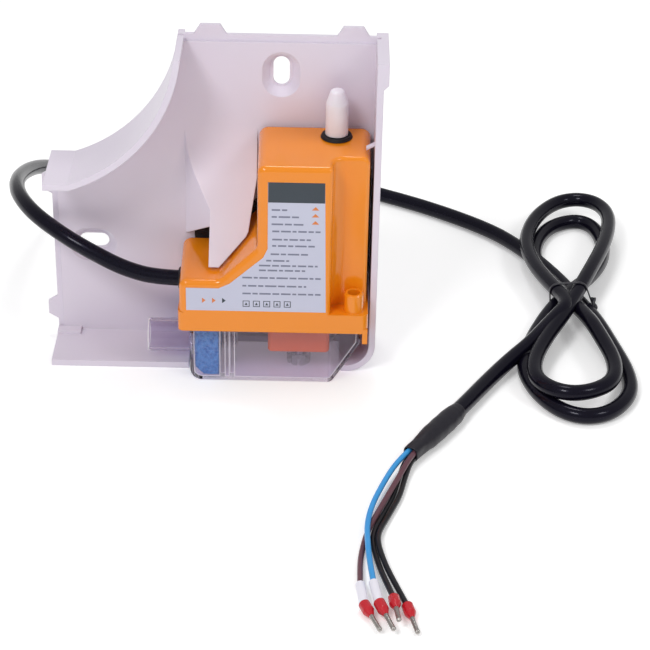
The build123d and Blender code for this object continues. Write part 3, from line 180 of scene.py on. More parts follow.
# ---------------------------------------------------------------- mains lead
# Four-core mains cable of 6.7 mm with a satin blue-black jacket, 1.44 m long. It leaves the
# housing at the left, passes behind the elbow and is hanked in a figure of eight at the right.
cable_diameter = 6.7
floor_z = 3.4
cable_route = [
    (-8.4, -4.5, 40.3), (-22.0, -4.5, 40.3), (-36.0, -3.0, 43.5), (-50.0, 0.2, 49.6),
    (-61.5, 5.0, 54.2), (-75.0, 16.5, 58.0), (-83.5, 33.0, 58.0), (-87.8, 54.0, 53.8),
    (-88.5, 78.0, 46.5), (-86.0, 104.0, 37.0), (-80.0, 130.0, 24.0), (-69.0, 152.0, 12.0),
    (-49.0, 168.0, 4.8), (-21.0, 175.0, floor_z), (12.0, 173.0, floor_z), (43.0, 164.5, floor_z),
    (73.3, 149.2, floor_z), (99.3, 133.9, floor_z), (124.3, 114.5, floor_z),
]
hank_route = [
    (137.0, 98.7, floor_z), (147.3, 79.8, floor_z), (154.3, 64.7, floor_z), (158.2, 53.3, floor_z),
    (165.4, 29.7, 6), (171.2, 8.5, 4), (175.8, -12.5, floor_z), (175.0, -29.7, floor_z),
    (165.5, -43.9, floor_z), (154.0, -47.8, floor_z), (143.4, -42.0, floor_z),
    (134.9, -27.0, floor_z), (131.7, -9.9, floor_z), (135.2, 7.1, 4), (143.0, 27.3, 5),
    (152.0, 41.7, 8),
    (170.5, 71.0, 5), (177.1, 94.0, 4), (176.0, 114.9, floor_z), (170.8, 123.9, floor_z),
    (163.1, 124.5, floor_z), (153.0, 117.6, floor_z), (145.8, 102.7, floor_z),
    (143.6, 84.8, floor_z), (149.0, 61.7, 5),
    (161.4, 19.2, 12), (165.4, 4.2, 11), (169.6, -14.8, 10), (167.1, -30.7, 10),
    (155.8, -39.5, 10), (144.6, -39.9, 10), (135.2, -28.9, 9), (135.6, -13.0, 9),
    (142.4, 4.9, 10), (151.5, 21.9, 12),
    (164.5, 52.7, 15), (175.0, 82.4, 14), (180.9, 111.6, 12), (177.6, 128.4, 11),
    (167.9, 135.6, 10), (156.4, 132.3, 9), (145.5, 115.8, 9), (139.6, 93.7, 9),
    (141.2, 71.0, 10), (146.7, 49.1, 12),
]
sleeve_start = (102.6, -46.9, 4.8)
sleeve_heading = (-0.534, -0.8455, 0.0)
jacket_end = tuple(p + 28.0 * d for p, d in zip(sleeve_start, sleeve_heading))
tail_route = [
    (154.3, 28.0, 14), (146.4, 17.0, 12), (136.2, 3.5, 8), (126.5, -6.7, 5.4),
    (114.9, -24.2, 4.2), sleeve_start, jacket_end,
]


def cord_curve(name, points, diameter):
    """Round cord along a NURBS line whose control points are the given places, in millimetres."""
    curve = bpy.data.curves.new(name, "CURVE")
    curve.dimensions = "3D"
    curve.bevel_depth = diameter * MM / 2
    curve.bevel_resolution = 5
    curve.resolution_u = 8
    curve.use_fill_caps = True
    spline = curve.splines.new("NURBS")
    spline.points.add(len(points) - 1)
    for point, place in zip(spline.points, points):
        point.co = (*[c * MM for c in place], 1.0)
    spline.order_u = 3
    spline.use_endpoint_u = True
    piece = bpy.data.objects.new(name, curve)
    bpy.context.scene.collection.objects.link(piece)
    return piece


def cord_line(piece):
    """The cord's own centre line as an array of points in metres, read from its NURBS curve."""
    curve = piece.data.copy()
    curve.bevel_depth = 0.0
    probe = bpy.data.objects.new("probe", curve)
    bpy.context.scene.collection.objects.link(probe)
    mesh = bpy.data.meshes.new_from_object(probe)
    line = np.array([v.co for v in mesh.vertices], float)
    bpy.data.objects.remove(probe)
    bpy.data.meshes.remove(mesh)
    bpy.data.curves.remove(curve)
    return line


def cord_length(piece):
    """Length of the cord's centre line in metres."""
    return float(np.linalg.norm(np.diff(cord_line(piece), axis=0), axis=1).sum())


def two_shades(tree, shader, pattern, low, high, span=(0.0, 1.0)):
    """Base colour that runs from low to high as the pattern goes over the span."""
    shade = add_node(tree, "ShaderNodeValToRGB", {}, Fac=pattern)
    for element, place_on_ramp, colour in zip(shade.color_ramp.elements, span, (low, high)):
        element.position = place_on_ramp
        element.color = linear(colour)
    tree.links.new(shade.outputs["Color"], shader.inputs["Base Color"])


jacket_rubber, tree, shader = blank_material("cable_jacket_pvc")
# extruded PVC: a soft sheen, with a very fine drawn grain that only shows in the highlights
place = add_node(tree, "ShaderNodeTexCoord").outputs["Object"]
grain = add_node(tree, "ShaderNodeTexNoise", {"Scale": 900.0, "Detail": 3.0}, Vector=place)
two_shades(tree, shader, grain.outputs["Fac"], "#07060f", "#100e1b")
bump = add_node(
    tree, "ShaderNodeBump", {"Strength": 0.15, "Distance": 0.0001}, Height=grain.outputs["Fac"])
tree.links.new(bump.outputs["Normal"], shader.inputs["Normal"])
shader.inputs["Roughness"].default_value = 0.26
shader.inputs["Specular IOR Level"].default_value = 0.12
shader.inputs["Specular Tint"].default_value = linear("#c9c6ee")
shader.inputs["Coat Weight"].default_value = 0.25
shader.inputs["Coat Roughness"].default_value = 0.09
shader.inputs["Coat IOR"].default_value = 1.42

mains_lead = cord_curve("mains_lead", cable_route + hank_route + tail_route, cable_diameter)
give(mains_lead, jacket_rubber)
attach(mains_lead, "pump_unit")
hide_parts("power_cable", "cable_hank", "cable_tail")

wire_diameter = 2.2
across = (-1.15 * -sleeve_heading[1], -1.15 * sleeve_heading[0])


def core_route(side, lift, places):
    """Route of one core, from inside the sleeve at one of four corners through its own places."""
    start = (jacket_end[0] + across[0] * side, jacket_end[1] + across[1] * side, 4.8 + 1.15 * lift)
    leave = tuple(s + 11.0 * d for s, d in zip(start, sleeve_heading))
    return [start, (leave[0], leave[1], leave[2] - 0.2), *places]


cores = {
    "blue_wire": core_route(1, 1, [
        (75.4, -88.3, 4.9), (71.0, -99.8, 4.3), (66.9, -112.4, 3.8), (64.9, -124.3, 3.6),
        (65.1, -136.8, 3.6), (65.8, -149.0, 3.7), (67.0, -161.0, 4.2)]),
    "brown_wire": core_route(-1, 1, [
        (77.9, -93.1, 4.4), (74.3, -102.4, 3.8), (70.6, -112.4, 3.4), (66.9, -121.0, 1.8),
        (64.7, -128.0, 1.2), (63.0, -138.0, 1.2), (62.1, -148.0, 1.6), (62.2, -160.2, 2.6)]),
    "black_wire_1": core_route(1, -1, [
        (77.6, -91.2, 1.6), (75.4, -102.6, 1.2), (72.9, -110.0, 1.2), (69.6, -119.5, 1.2),
        (67.3, -127.5, 1.2), (67.1, -134.5, 1.2), (68.7, -144.6, 1.3), (70.8, -155.0, 1.8),
        (74.1, -168.8, 3.4)]),
    "black_wire_2": core_route(-1, -1, [
        (80.0, -91.8, 2.3), (77.8, -103.4, 2.0), (75.2, -111.0, 2.0), (71.9, -120.2, 2.0),
        (69.3, -128.2, 2.5), (68.9, -135.4, 2.8), (71.0, -146.0, 2.4), (74.0, -156.5, 2.2),
        (78.9, -171.7, 2.3)]),
}


def tube_grid(path, radii, sides=16):
    """Grid for a tube: at each point of the path a ring of the given radius, square to the path."""
    path = np.array(path, float)
    along = np.gradient(path, axis=0)
    along /= np.linalg.norm(along, axis=1, keepdims=True)
    level = np.cross(along, (0.0, 0.0, 1.0))
    level /= np.maximum(np.linalg.norm(level, axis=1, keepdims=True), 1e-9)
    upward = np.cross(level, along)
    angle = np.linspace(0, 2 * math.pi, sides, endpoint=False)
    radii = np.zeros((len(path), sides)) + np.array(radii, float)
    ring = level[:, None] * np.cos(angle)[:, None] + upward[:, None] * np.sin(angle)[:, None]
    return (path[:, None] + ring * radii[..., None]) * MM


def on_lead(piece, node_name, material):
    """Puts a piece on the cord's body in place of a CAD node."""
    give(piece, material)
    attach(piece, "pump_unit")
    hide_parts(node_name)
    return piece


# ---------------------------------------------------------------- twist tie
# A narrow band of black vinyl, drawn round the strands where the two loops meet, with its ends
# twisted together at the right.
tie_vinyl, tree, shader = blank_material("tie_vinyl")
place = add_node(tree, "ShaderNodeTexCoord").outputs["Object"]
scuff = add_node(tree, "ShaderNodeTexNoise", {"Scale": 700.0, "Detail": 2.0}, Vector=place)
two_shades(tree, shader, scuff.outputs["Fac"], "#131118", "#2b2933")
shader.inputs["Roughness"].default_value = 0.3
tie_y = 39.5
line = cord_line(mains_lead) / MM
before, after = line[:-1], line[1:]
crossing = ((before[:, 1] - tie_y) * (after[:, 1] - tie_y) < 0) & (before[:, 0] > 130)
share = ((tie_y - before[:, 1]) / (after[:, 1] - before[:, 1]))[crossing, None]
strands = (before[crossing] + share * (after - before)[crossing])[:, [0, 2]]
# hull of the strands: for each direction the farthest of their round sections, plus half the band
hull_angle = np.linspace(0, 2 * math.pi, 96, endpoint=False)
outward = np.stack([np.cos(hull_angle), np.sin(hull_angle)], 1)
nearest = strands[np.argmax(outward @ strands.T, axis=1)]
thick, wide = 0.35, 0.8            # half the band's thickness and width
ring = nearest + outward * (cable_diameter / 2 + thick)
ring[:, 1] = np.maximum(ring[:, 1], thick)
section = np.linspace(0, 2 * math.pi, 12, endpoint=False)
band = np.zeros((len(ring), len(section), 3))
band[..., 0] = ring[:, :1] + outward[:, :1] * thick * np.cos(section)
band[..., 1] = tie_y + wide * np.sin(section)
band[..., 2] = ring[:, 1:] + outward[:, 1:] * thick * np.cos(section)
tie_band = on_lead(
    add_surface("tie_band", band * MM, wrap=(True, True)), "twist_tie", tie_vinyl)
knot_x = strands[:, 0].max() + cable_diameter / 2 - 0.2
step = np.linspace(0, 1, 60)
tail_line = np.stack([
    knot_x + 2.2 * step, tie_y - 0.8 - 7.5 * step, 10.5 - 7.5 * step**0.8], 1)
twist = step * 3 * math.pi
for turn_start in (0.0, math.pi):
    swirl = np.stack([np.cos(twist + turn_start), 0 * twist, np.sin(twist + turn_start)], 1) * 0.55
    grid = tube_grid(tail_line + swirl, 0.7, 8)
    tie_end = add_surface("tie_end", grid, wrap=(False, True), caps=True)
    on_lead(tie_end, "twist_tie", tie_vinyl)


# ---------------------------------------------------------------- heat-shrink sleeve
# Dull black polyolefin, shrunk over the end of the jacket and drawn in round the four cores, which
# show as soft ridges at its mouth.
sleeve_polyolefin, tree, shader = blank_material("shrunk_polyolefin")
place = add_node(tree, "ShaderNodeTexCoord").outputs["Object"]
matt = add_node(tree, "ShaderNodeTexNoise", {"Scale": 1100.0, "Detail": 3.0}, Vector=place)
two_shades(tree, shader, matt.outputs["Fac"], "#17151d", "#25232c")
bump = add_node(
    tree, "ShaderNodeBump", {"Strength": 0.3, "Distance": 0.00008}, Height=matt.outputs["Fac"])
tree.links.new(bump.outputs["Normal"], shader.inputs["Normal"])
shader.inputs["Roughness"].default_value = 0.42
shader.inputs["Specular IOR Level"].default_value = 0.3
stations = np.array([0.0, 0.8, 4.0, 10.0, 20.0, 25.0, 28.5, 31.0, 34.0, 38.0])
outside = np.array([3.5, 3.65, 4.25, 4.45, 4.4, 4.25, 3.75, 3.5, 3.4, 3.3])
sleeve_mouth, sleeve_wall, outer_rows = stations[-1], 0.45, 90
along = np.concatenate([
    np.linspace(0, sleeve_mouth, outer_rows), np.linspace(sleeve_mouth, sleeve_mouth - 8.5, 20)])
wall = np.interp(along, stations, outside)
wall[outer_rows:] -= sleeve_wall
lobes = np.clip((along - 27) / 6, 0, 1)[:, None] * 0.22
angle = np.linspace(0, 2 * math.pi, 40, endpoint=False)
ripple = 0.05 * np.sin(along[:, None] * 0.9 + 1.3 * np.sin(angle))
radii = wall[:, None] + lobes * np.cos(4 * (angle - math.pi / 4)) + ripple
start, heading = np.array(sleeve_start), np.array(sleeve_heading)
side_way = np.cross(heading, (0.0, 0.0, 1.0))
ring_way = side_way * np.cos(angle)[:, None] + np.array((0.0, 0.0, 1.0)) * np.sin(angle)[:, None]
grid = (start + along[:, None] * heading)[:, None] + ring_way * radii[..., None]
sleeve = on_lead(
    add_surface("shrunk_sleeve", grid * MM, wrap=(False, True)), "heat_shrink",
    sleeve_polyolefin)


# ---------------------------------------------------------------- ferrule pins
# Tinned copper barrels, one on each core, crimped so that they are ridged and a little square, with
# a rounded tip.
tin, tree, shader = blank_material("tinned_copper")
place = add_node(tree, "ShaderNodeTexCoord").outputs["Object"]
smear = add_node(tree, "ShaderNodeTexNoise", {"Scale": 1300.0, "Detail": 4.0}, Vector=place)
two_shades(tree, shader, smear.outputs["Fac"], "#8f8a86", "#c9c5c1")
shader.inputs["Metallic"].default_value = 1.0
shader.inputs["Roughness"].default_value = 0.3
ferrule_places = {
    "blue_wire": (11.4, (0.16, -0.98, -0.02), (0.33, -0.94, -0.05)),
    "brown_wire": (11.4, (0.12, -0.99, -0.01), (0.36, -0.93, -0.02)),
    "black_wire_1": (0.0, (0.14, -0.99, 0.06), (0.10, -0.99, 0.12)),
    "black_wire_2": (0.0, (0.20, -0.98, -0.01), (0.22, -0.975, -0.02)),
}
collar_length, pin_length, pin_radius = 7.0, 8.5, 0.95
for core_name, (marker, marker_way, pin_way) in ferrule_places.items():
    marker_way, pin_way = (np.array(way) / np.linalg.norm(way) for way in (marker_way, pin_way))
    collar_start = np.array(cores[core_name][-1]) + marker * marker_way
    step = np.linspace(0, pin_length, 70)
    path = collar_start + pin_way * (collar_length + step)[:, None]
    around = np.linspace(0, 2 * math.pi, 16, endpoint=False)
    pressed = np.clip(1 - np.abs(step - 4.0) / 3.0, 0, 1) ** 0.3
    squared = 1 - 0.10 * pressed[:, None] * (1 - np.cos(4 * around)) / 2
    ridged = 1 - 0.07 * pressed * (0.5 + 0.5 * np.cos(step * 2 * math.pi / 1.1))
    tip = np.sqrt(np.clip((pin_length + 0.02 - step) / 0.7, 0.02, 1.0))
    radii = pin_radius * squared * (ridged * tip)[:, None]
    on_lead(
        add_surface(core_name + "_pin", tube_grid(path, radii), wrap=(False, True), caps=True),
        "ferrule_pins", tin)


# ---------------------------------------------------------------- cores
# Four cores in thin, glossy PVC insulation: blue, brown and two black. Each runs from inside the
# sleeve to its own ferrule.
core_shades = {
    "blue_wire": ("#2f8fd6", "#49a6e6"), "brown_wire": ("#5b3a44", "#6b4751"),
    "black_wire_1": ("#0f0e13", "#1b1a20"), "black_wire_2": ("#0f0e13", "#1b1a20"),
}
for core_name, route in cores.items():
    # the colour is a little uneven along the wire
    insulation, tree, shader = blank_material(core_name + "_pvc")
    place = add_node(tree, "ShaderNodeTexCoord").outputs["Object"]
    drift = add_node(tree, "ShaderNodeTexNoise", {"Scale": 120.0, "Detail": 2.0}, Vector=place)
    two_shades(tree, shader, drift.outputs["Fac"], core_shades[core_name][0], core_shades[core_name][1])
    shader.inputs["Roughness"].default_value = 0.28
    shader.inputs["Specular IOR Level"].default_value = 0.35
    core = cord_curve(core_name + "_core", route, wire_diameter)
    give(core, insulation)
    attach(core, "pump_unit")
    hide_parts(core_name)
    cord_length(core)


# ---------------------------------------------------------------- moulded plastics
# The elbow is white PVC with a cool cast and a faint moulded orange-peel. The pump's housing is
# glossy orange ABS. The cap is milky polyethylene that lets some light in.
def moulded(name, low, high, rough, peel_scale, peel_depth, edge=0.0):
    """Moulded plastic: colour drifts between two shades, with a fine peel in the gloss; corners
    shade as if rounded by edge millimetres."""
    material, tree, shader = blank_material(name)
    place = add_node(tree, "ShaderNodeTexCoord").outputs["Object"]
    drift = add_node(tree, "ShaderNodeTexNoise", {"Scale": 14.0, "Detail": 2.0}, Vector=place)
    two_shades(tree, shader, drift.outputs["Fac"], low, high, (0.3, 0.7))
    peel = add_node(tree, "ShaderNodeTexNoise", {"Scale": peel_scale, "Detail": 2.0}, Vector=place)
    bump = add_node(
        tree, "ShaderNodeBump", {"Strength": 0.25, "Distance": peel_depth},
        Height=peel.outputs["Fac"],
    )
    if edge:
        rounded = add_node(tree, "ShaderNodeBevel", {"samples": 6, "Radius": edge * MM})
        tree.links.new(rounded.outputs["Normal"], bump.inputs["Normal"])
    tree.links.new(bump.outputs["Normal"], shader.inputs["Normal"])
    wear = add_node(
        tree, "ShaderNodeMapRange", {"To Min": rough - 0.05, "To Max": rough + 0.05},
        Value=drift.outputs["Fac"],
    )
    tree.links.new(wear.outputs["Result"], shader.inputs["Roughness"])
    return material, tree, shader


white_pvc, tree, shader = moulded("white_pvc", "#ddd4e2", "#e5dde9", 0.36, 900.0, 0.00004, edge=0.5)
shader.inputs["Subsurface Weight"].default_value = 0.12
shader.inputs["Subsurface Radius"].default_value = (0.9, 0.75, 0.9)
shader.inputs["Subsurface Scale"].default_value = 0.0015
give(nodes["elbow_base"], white_pvc)

orange_abs, tree, shader = moulded("orange_abs", "#f08a10", "#f38f16", 0.22, 700.0, 0.00003, edge=0.7)
shader.inputs["Coat Weight"].default_value = 0.6
shader.inputs["Coat Roughness"].default_value = 0.1
shader.inputs["Specular IOR Level"].default_value = 0.3
for node_name in ("pump_housing", "housing_back"):
    give(nodes[node_name], orange_abs)

milky_pe, tree, shader = moulded(
    "milky_polyethylene", "#ebe3ed", "#f2ecf4", 0.3, 500.0, 0.00005, edge=0.3)
shader.inputs["Subsurface Weight"].default_value = 0.35
shader.inputs["Subsurface Radius"].default_value = (1.0, 0.9, 1.0)
shader.inputs["Subsurface Scale"].default_value = 0.003
give(nodes["discharge_cap"], milky_pe)

black_rubber, tree, shader = moulded("black_rubber", "#111014", "#1b1a1f", 0.55, 1500.0, 0.00006)
shader.inputs["Specular IOR Level"].default_value = 0.35
for node_name in (
    "outlet_grommet", "cable_gland", "lower_mount", "upper_mount", "inlet_valve", "outlet_valve",
):
    give(nodes[node_name], black_rubber)

red_nylon, tree, shader = moulded("red_nylon", "#b81423", "#c51d2b", 0.22, 600.0, 0.00005, edge=0.4)
shader.inputs["Subsurface Weight"].default_value = 0.2
shader.inputs["Subsurface Radius"].default_value = (1.0, 0.2, 0.2)
shader.inputs["Subsurface Scale"].default_value = 0.001
give(nodes["ferrule_collars"], red_nylon)


# ---------------------------------------------------------------- rating label
# Pale grey vinyl with a dark slate header, thin rules where a plate carries its data, three arrows
# up and three arrows to the right, and five bare boxes. It carries no words, figures or maker.
vinyl, tree, shader = moulded("pale_vinyl", "#c3c4d8", "#caccde", 0.42, 1200.0, 0.00002)
give(nodes["rating_label"], vinyl)
label_face = -22.0
slate_ink, tree, shader = moulded("slate_ink", "#2e3740", "#343e47", 0.35, 1200.0, 0.00002)
grey_ink, tree, shader = moulded("grey_ink", "#74778a", "#83869a", 0.5, 1500.0, 0.00002)
orange_ink, tree, shader = moulded("orange_ink", "#d9793b", "#e08545", 0.45, 1500.0, 0.00002)


def printed(name, outlines, ink):
    """Ink on the label: flat outlines, each a list of (x, z) in millimetres, a hair above the vinyl."""
    corners, faces = [], []
    for outline in outlines:
        faces.append(list(range(len(corners), len(corners) + len(outline))))
        corners += [(x * MM, (label_face - 0.03) * MM, z * MM) for x, z in outline]
    mesh = bpy.data.meshes.new(name)
    mesh.from_pydata(corners, [], faces)
    piece = bpy.data.objects.new(name, mesh)
    bpy.context.scene.collection.objects.link(piece)
    give(piece, ink)
    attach(piece, "pump_unit")
    return piece


def bar(left, right, z, thick=0.75):
    """Level rule, (x, z) corners in order."""
    return [(left, z - thick / 2), (right, z - thick / 2), (right, z + thick / 2), (left, z + thick / 2)]


printed("label_header", [[(24.3, 85.2), (46.9, 85.2), (46.8, 94.1), (24.3, 94.1)]], slate_ink)
rule_rows = (
    (25.7, 32.1, 81.9), (25.7, 37.1, 78.8), (25.7, 39.1, 75.5), (26.0, 45.3, 72.3),
    (26.0, 41.5, 68.6), (26.0, 43.1, 65.7), (25.4, 41.1, 61.9), (23.6, 32.9, 58.9),
    (20.7, 44.4, 56.6), (20.7, 39.4, 54.4), (14.0, 45.7, 50.9), (14.0, 39.9, 47.1),
    (14.0, 45.8, 43.5),
)
dash_lengths = (3.4, 2.1, 4.6, 2.8, 3.9, 1.6)
rules = []
for row, (row_left, row_right, row_z) in enumerate(rule_rows):
    x, step = row_left, row
    while x < row_right - 0.8:
        dash = min(dash_lengths[step % len(dash_lengths)], row_right - x)
        rules.append(bar(x, x + dash, row_z))
        x, step = x + dash + 0.7, step + 1
printed("label_rules", rules, grey_ink)
arrows = [[(43.2 - 1.5, z - 0.7), (43.2 + 1.5, z - 0.7), (43.2, z + 0.9)] for z in (82.7, 79.6, 76.4)]
arrows += [[(x - 0.6, 38.7), (x + 0.9, 39.95), (x - 0.6, 41.2)] for x in (-1.9, 2.2)]
printed("label_arrows", arrows, orange_ink)
boxes = []
for box_x in (15.5, 19.7, 23.9, 28.1, 32.3):
    boxes += [
        bar(box_x - 1.4, box_x + 1.4, 40.0, 0.3), bar(box_x - 1.4, box_x + 1.4, 37.4, 0.3),
        [(box_x - 1.4, 37.4), (box_x - 1.1, 37.4), (box_x - 1.1, 40.0), (box_x - 1.4, 40.0)],
        [(box_x + 1.1, 37.4), (box_x + 1.4, 37.4), (box_x + 1.4, 40.0), (box_x + 1.1, 40.0)],
        [(box_x - 0.6, 38.1), (box_x + 0.6, 38.1), (box_x, 39.4)],
    ]
boxes.append([(5.7, 38.7), (7.2, 39.95), (5.7, 41.2)])
printed("label_boxes", boxes, slate_ink)


# ---------------------------------------------------------------- tank
# Clear polystyrene, faintly smoked. Light passes its thin walls, so what is inside stays lit.
clear_ps, tree, shader = blank_material("clear_polystyrene")
shader.inputs["Transmission Weight"].default_value = 1.0
shader.inputs["IOR"].default_value = 1.42
place = add_node(tree, "ShaderNodeTexCoord").outputs["Object"]
# the smoke is even; the float chamber's rear wall is painted darker above half height, a painted shade
# where the pump unit above shades it
axes = add_node(tree, "ShaderNodeSeparateXYZ", {}, Vector=place)
painted_shade_mask = None
tank_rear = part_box("reservoir")[1].y
for axis, low, high in (
    ("X", 0.008, 0.012), ("Y", tank_rear - 0.004, tank_rear - 0.002), ("Z", 0.010, 0.015),
):
    ramp = add_node(
        tree, "ShaderNodeMapRange", {"From Min": low, "From Max": high}, Value=axes.outputs[axis])
    if painted_shade_mask is None:
        painted_shade_mask = ramp.outputs["Result"]
    else:
        both = add_node(tree, "ShaderNodeMath", {"operation": "MULTIPLY"})
        tree.links.new(painted_shade_mask, both.inputs[0])
        tree.links.new(ramp.outputs["Result"], both.inputs[1])
        painted_shade_mask = both.outputs["Value"]
# painted shade: inside the mask the colour runs to the dark smoke
two_shades(tree, shader, painted_shade_mask, "#e6e0ec", "#8f87a3")
flow = add_node(tree, "ShaderNodeTexNoise", {"Scale": 30.0, "Detail": 2.0}, Vector=place)
haze = add_node(tree, "ShaderNodeMapRange", {"To Min": 0.01, "To Max": 0.07}, Value=flow.outputs["Fac"])
tree.links.new(haze.outputs["Result"], shader.inputs["Roughness"])
ripple = add_node(
    tree, "ShaderNodeBump", {"Strength": 0.1, "Distance": 0.0002}, Height=flow.outputs["Fac"])
tree.links.new(ripple.outputs["Normal"], shader.inputs["Normal"])
# painted highlight: where a rounded normal leaves the true one, the edges of the walls and ribs are
# painted white, standing in for the light they gather
rounded = add_node(tree, "ShaderNodeBevel", {"samples": 8, "Radius": 0.0008})
surface = add_node(tree, "ShaderNodeNewGeometry")
agree = add_node(tree, "ShaderNodeVectorMath", {"operation": "DOT_PRODUCT"})
tree.links.new(rounded.outputs["Normal"], agree.inputs[0])
tree.links.new(surface.outputs["Normal"], agree.inputs[1])
edge = add_node(
    tree, "ShaderNodeMapRange", {"From Min": 0.995, "From Max": 0.93, "To Min": 0.0, "To Max": 0.9},
    Value=agree.outputs["Value"],
)
painted_highlight_edge = add_node(tree, "ShaderNodeBsdfDiffuse", {"Color": linear("#ffffff")})
lit_edge = add_node(tree, "ShaderNodeMixShader")
tree.links.new(edge.outputs["Result"], lit_edge.inputs[0])
tree.links.new(shader.outputs["BSDF"], lit_edge.inputs[1])
tree.links.new(painted_highlight_edge.outputs["BSDF"], lit_edge.inputs[2])
through = add_node(tree, "ShaderNodeBsdfTransparent", {"Color": linear("#f3f0f6")})
ray = add_node(tree, "ShaderNodeLightPath")
either = add_node(tree, "ShaderNodeMath", {"operation": "MAXIMUM"})
tree.links.new(ray.outputs["Is Shadow Ray"], either.inputs[0])
tree.links.new(ray.outputs["Is Diffuse Ray"], either.inputs[1])
pass_on = add_node(tree, "ShaderNodeMixShader")
tree.links.new(either.outputs["Value"], pass_on.inputs[0])
tree.links.new(lit_edge.outputs["Shader"], pass_on.inputs[1])
tree.links.new(through.outputs["BSDF"], pass_on.inputs[2])
tree.links.new(pass_on.outputs["Shader"], tree.nodes["Material Output"].inputs["Surface"])
give(nodes["reservoir"], clear_ps)

red_float, tree, shader = moulded("orange_float_pp", "#f0714a", "#f47c54", 0.5, 800.0, 0.00006)
give(nodes["float_body"], red_float)


# ---------------------------------------------------------------- foams
# The filter is open-cell blue foam and the pad behind the pump is black closed-cell foam. Each
# keeps its cut shape, with soft edges and a surface broken up by its cells.
def merged_copy(node_name, name, gap):
    """Copy of a CAD solid with the doubles within the gap, in millimetres, merged."""
    source = nodes[node_name]
    piece = bpy.data.objects.new(name, source.data.copy())
    bpy.context.scene.collection.objects.link(piece)
    piece.matrix_world = source.matrix_world.copy()
    piece.modifiers.new("weld", "WELD").merge_threshold = gap * MM
    return piece


def foam_copy(node_name, edge, cell, depth, levels):
    """Foam block after a CAD solid: the merged copy gets rounded edges, is divided finely and its
    faces are sunk by up to depth where a cloud pattern of the given cell size is dark."""
    piece = merged_copy(node_name, node_name + "_cells", 0.02)
    rounding = piece.modifiers.new("edge", "BEVEL")
    rounding.width, rounding.segments = edge * MM, 3
    rounding.limit_method, rounding.angle_limit = "ANGLE", math.radians(30)
    fine = piece.modifiers.new("fine", "SUBSURF")
    fine.subdivision_type = "SIMPLE"
    fine.levels = fine.render_levels = levels
    cloud = bpy.data.textures.new(node_name + "_cloud", "CLOUDS")
    cloud.noise_scale = cell * MM
    sink = piece.modifiers.new("cells", "DISPLACE")
    sink.texture = cloud
    sink.texture_coords = "LOCAL"
    sink.mid_level, sink.strength = 1.0, depth * MM
    piece.data.shade_smooth()
    return piece


def foam_material(name, low, high, cell, depth, rough):
    """Foam: cells from a Voronoi pattern that a slow noise bends, with painted shade darkening their
    pits.
    """
    material, tree, shader = blank_material(name)
    place = add_node(tree, "ShaderNodeTexCoord").outputs["Object"]
    warp = add_node(tree, "ShaderNodeTexNoise", {"Scale": cell * 0.4, "Detail": 3.0}, Vector=place)
    bent = add_node(tree, "ShaderNodeVectorMath", {"operation": "MULTIPLY_ADD"})
    tree.links.new(warp.outputs["Color"], bent.inputs[0])
    bent.inputs[1].default_value = (0.0015, 0.0015, 0.0015)
    tree.links.new(place, bent.inputs[2])
    cells = add_node(tree, "ShaderNodeTexVoronoi", {"Scale": cell}, Vector=bent.outputs["Vector"])
    # painted shade: the colour runs dark towards the pits of the cells, where the bump sinks them
    two_shades(tree, shader, cells.outputs["Distance"], low, high, (0.1, 0.65))
    bump = add_node(
        tree, "ShaderNodeBump", {"Strength": 0.8, "Distance": depth}, Height=cells.outputs["Distance"])
    tree.links.new(bump.outputs["Normal"], shader.inputs["Normal"])
    shader.inputs["Roughness"].default_value = rough
    shader.inputs["Sheen Weight"].default_value = 0.3
    return material


blue_foam = foam_material("blue_filter_foam", "#2c70bd", "#579ddd", 620.0, 0.0005, 0.85)
black_foam = foam_material("black_closed_cell_foam", "#08070a", "#1a191d", 1400.0, 0.0003, 0.9)
filter_block = foam_copy("filter_foam", 0.9, 1.6, 0.7, 5)
give(filter_block, blue_foam)
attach(filter_block, "tank")
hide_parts("filter_foam")
pad = foam_copy("backing_foam", 0.5, 1.0, 0.25, 4)
give(pad, black_foam)
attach(pad, "elbow")
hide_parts("backing_foam")


# ---------------------------------------------------------------- mechanism and circuit board
# What the housing hides: zinc-plated yoke, enamelled copper coil on nylon, stainless tube, piston
# and springs, silicone hose, and a green board with its parts.
def metal(name, low, high, rough, grain_scale, stretch):
    """Bare or plated metal: grain drawn out along Z by stretch, in the gloss and the shade."""
    material, tree, shader = blank_material(name)
    place = add_node(tree, "ShaderNodeTexCoord").outputs["Object"]
    drawn = add_node(
        tree, "ShaderNodeMapping", {"Scale": (1.0, 1.0, 1.0 / stretch)}, Vector=place)
    grain = add_node(
        tree, "ShaderNodeTexNoise", {"Scale": grain_scale, "Detail": 4.0},
        Vector=drawn.outputs["Vector"],
    )
    two_shades(tree, shader, grain.outputs["Fac"], low, high, (0.35, 0.65))
    gloss = add_node(
        tree, "ShaderNodeMapRange", {"To Min": rough - 0.08, "To Max": rough + 0.1},
        Value=grain.outputs["Fac"],
    )
    tree.links.new(gloss.outputs["Result"], shader.inputs["Roughness"])
    shader.inputs["Metallic"].default_value = 1.0
    return material


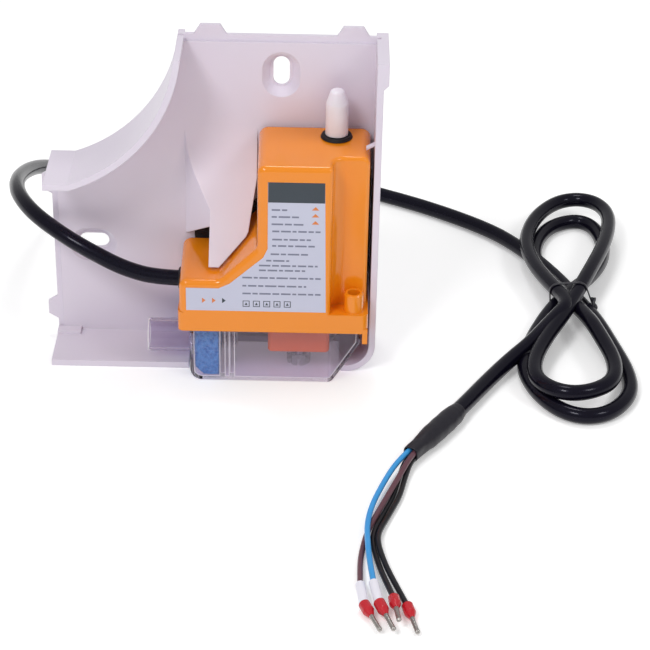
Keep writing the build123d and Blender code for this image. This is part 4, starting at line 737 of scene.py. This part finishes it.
hidden_metals = {
    "zinc_plated_steel": (
        ("#b9bcc0", "#cfd1d4", 0.35, 500.0, 1.0), ("steel_yoke", "housing_screws", "board_screws")),
    "enamelled_copper": (("#8c3f1c", "#c06a34", 0.3, 1600.0, 0.05), ("coil_winding",)),
    "stainless_steel": (
        ("#a9abae", "#c4c6c9", 0.25, 700.0, 12.0),
        ("suction_tube", "pump_tube", "pump_piston", "lower_spring", "upper_spring")),
    "nickel_magnet": (("#c2c0ba", "#d6d4ce", 0.2, 300.0, 1.0), ("float_magnet",)),
    "aluminium_can": (("#9aa0a8", "#b4bac1", 0.3, 600.0, 8.0), ("smoothing_capacitor",)),
}
for finish_name, (settings, node_names) in hidden_metals.items():
    finish = metal(finish_name, *settings)
    for node_name in node_names:
        give(nodes[node_name], finish)
hidden_plastics = {
    "black_acetal": (("#141317", "#1d1c21", 0.4, 600.0, 0.00005), ("inlet_fitting", "outlet_fitting")),
    "natural_nylon": (("#e4decb", "#efe9d8", 0.45, 500.0, 0.00005), ("coil_bobbin",)),
    "white_acetal": (("#e9e8e6", "#f2f1ef", 0.35, 500.0, 0.00005), ("outlet_barb",)),
    "silicone_hose": (("#d9d6d2", "#e6e3df", 0.35, 400.0, 0.00005), ("discharge_hose",)),
    "green_solder_mask": (("#0f5a34", "#1a6f43", 0.3, 900.0, 0.00003), ("circuit_board",)),
    "green_terminal_pa": (("#2d8a4a", "#36964f", 0.4, 600.0, 0.00005), ("terminal_block",)),
    "yellow_film_case": (("#c9a227", "#d7b038", 0.35, 500.0, 0.00005), ("film_capacitor",)),
    "fuse_enamel": (("#8f9296", "#a3a6aa", 0.4, 500.0, 0.00005), ("thermal_fuse",)),
    "black_epoxy": (("#121214", "#1c1c1f", 0.5, 900.0, 0.00005), ("hall_sensor",)),
    "marker_vinyl": (("#e4e2ee", "#eeecf5", 0.4, 900.0, 0.00004), ("marker_sleeves",)),
}
for finish_name, (settings, node_names) in hidden_plastics.items():
    finish, tree, shader = moulded(finish_name, *settings)
    for node_name in node_names:
        give(nodes[node_name], finish)
# the strainer hangs in the tank and is smoky clear polypropylene, hard to see against the tank
smoky_pp, tree, shader = moulded("smoky_polypropylene", "#a99dae", "#b6aaba", 0.3, 700.0, 0.00004)
shader.inputs["Alpha"].default_value = 0.16
give(nodes["suction_strainer"], smoky_pp)

# each coil spring, which sits on the yoke's fitting at one end and on the piston at the other, gets a
# merged copy with its place baked into its mesh, in place of its CAD node
for spring_name, still_end in (("lower_spring", 0), ("upper_spring", 1)):
    coil = merged_copy(spring_name, spring_name + "_coil", 0.005)
    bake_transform(coil)
    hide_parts(spring_name)
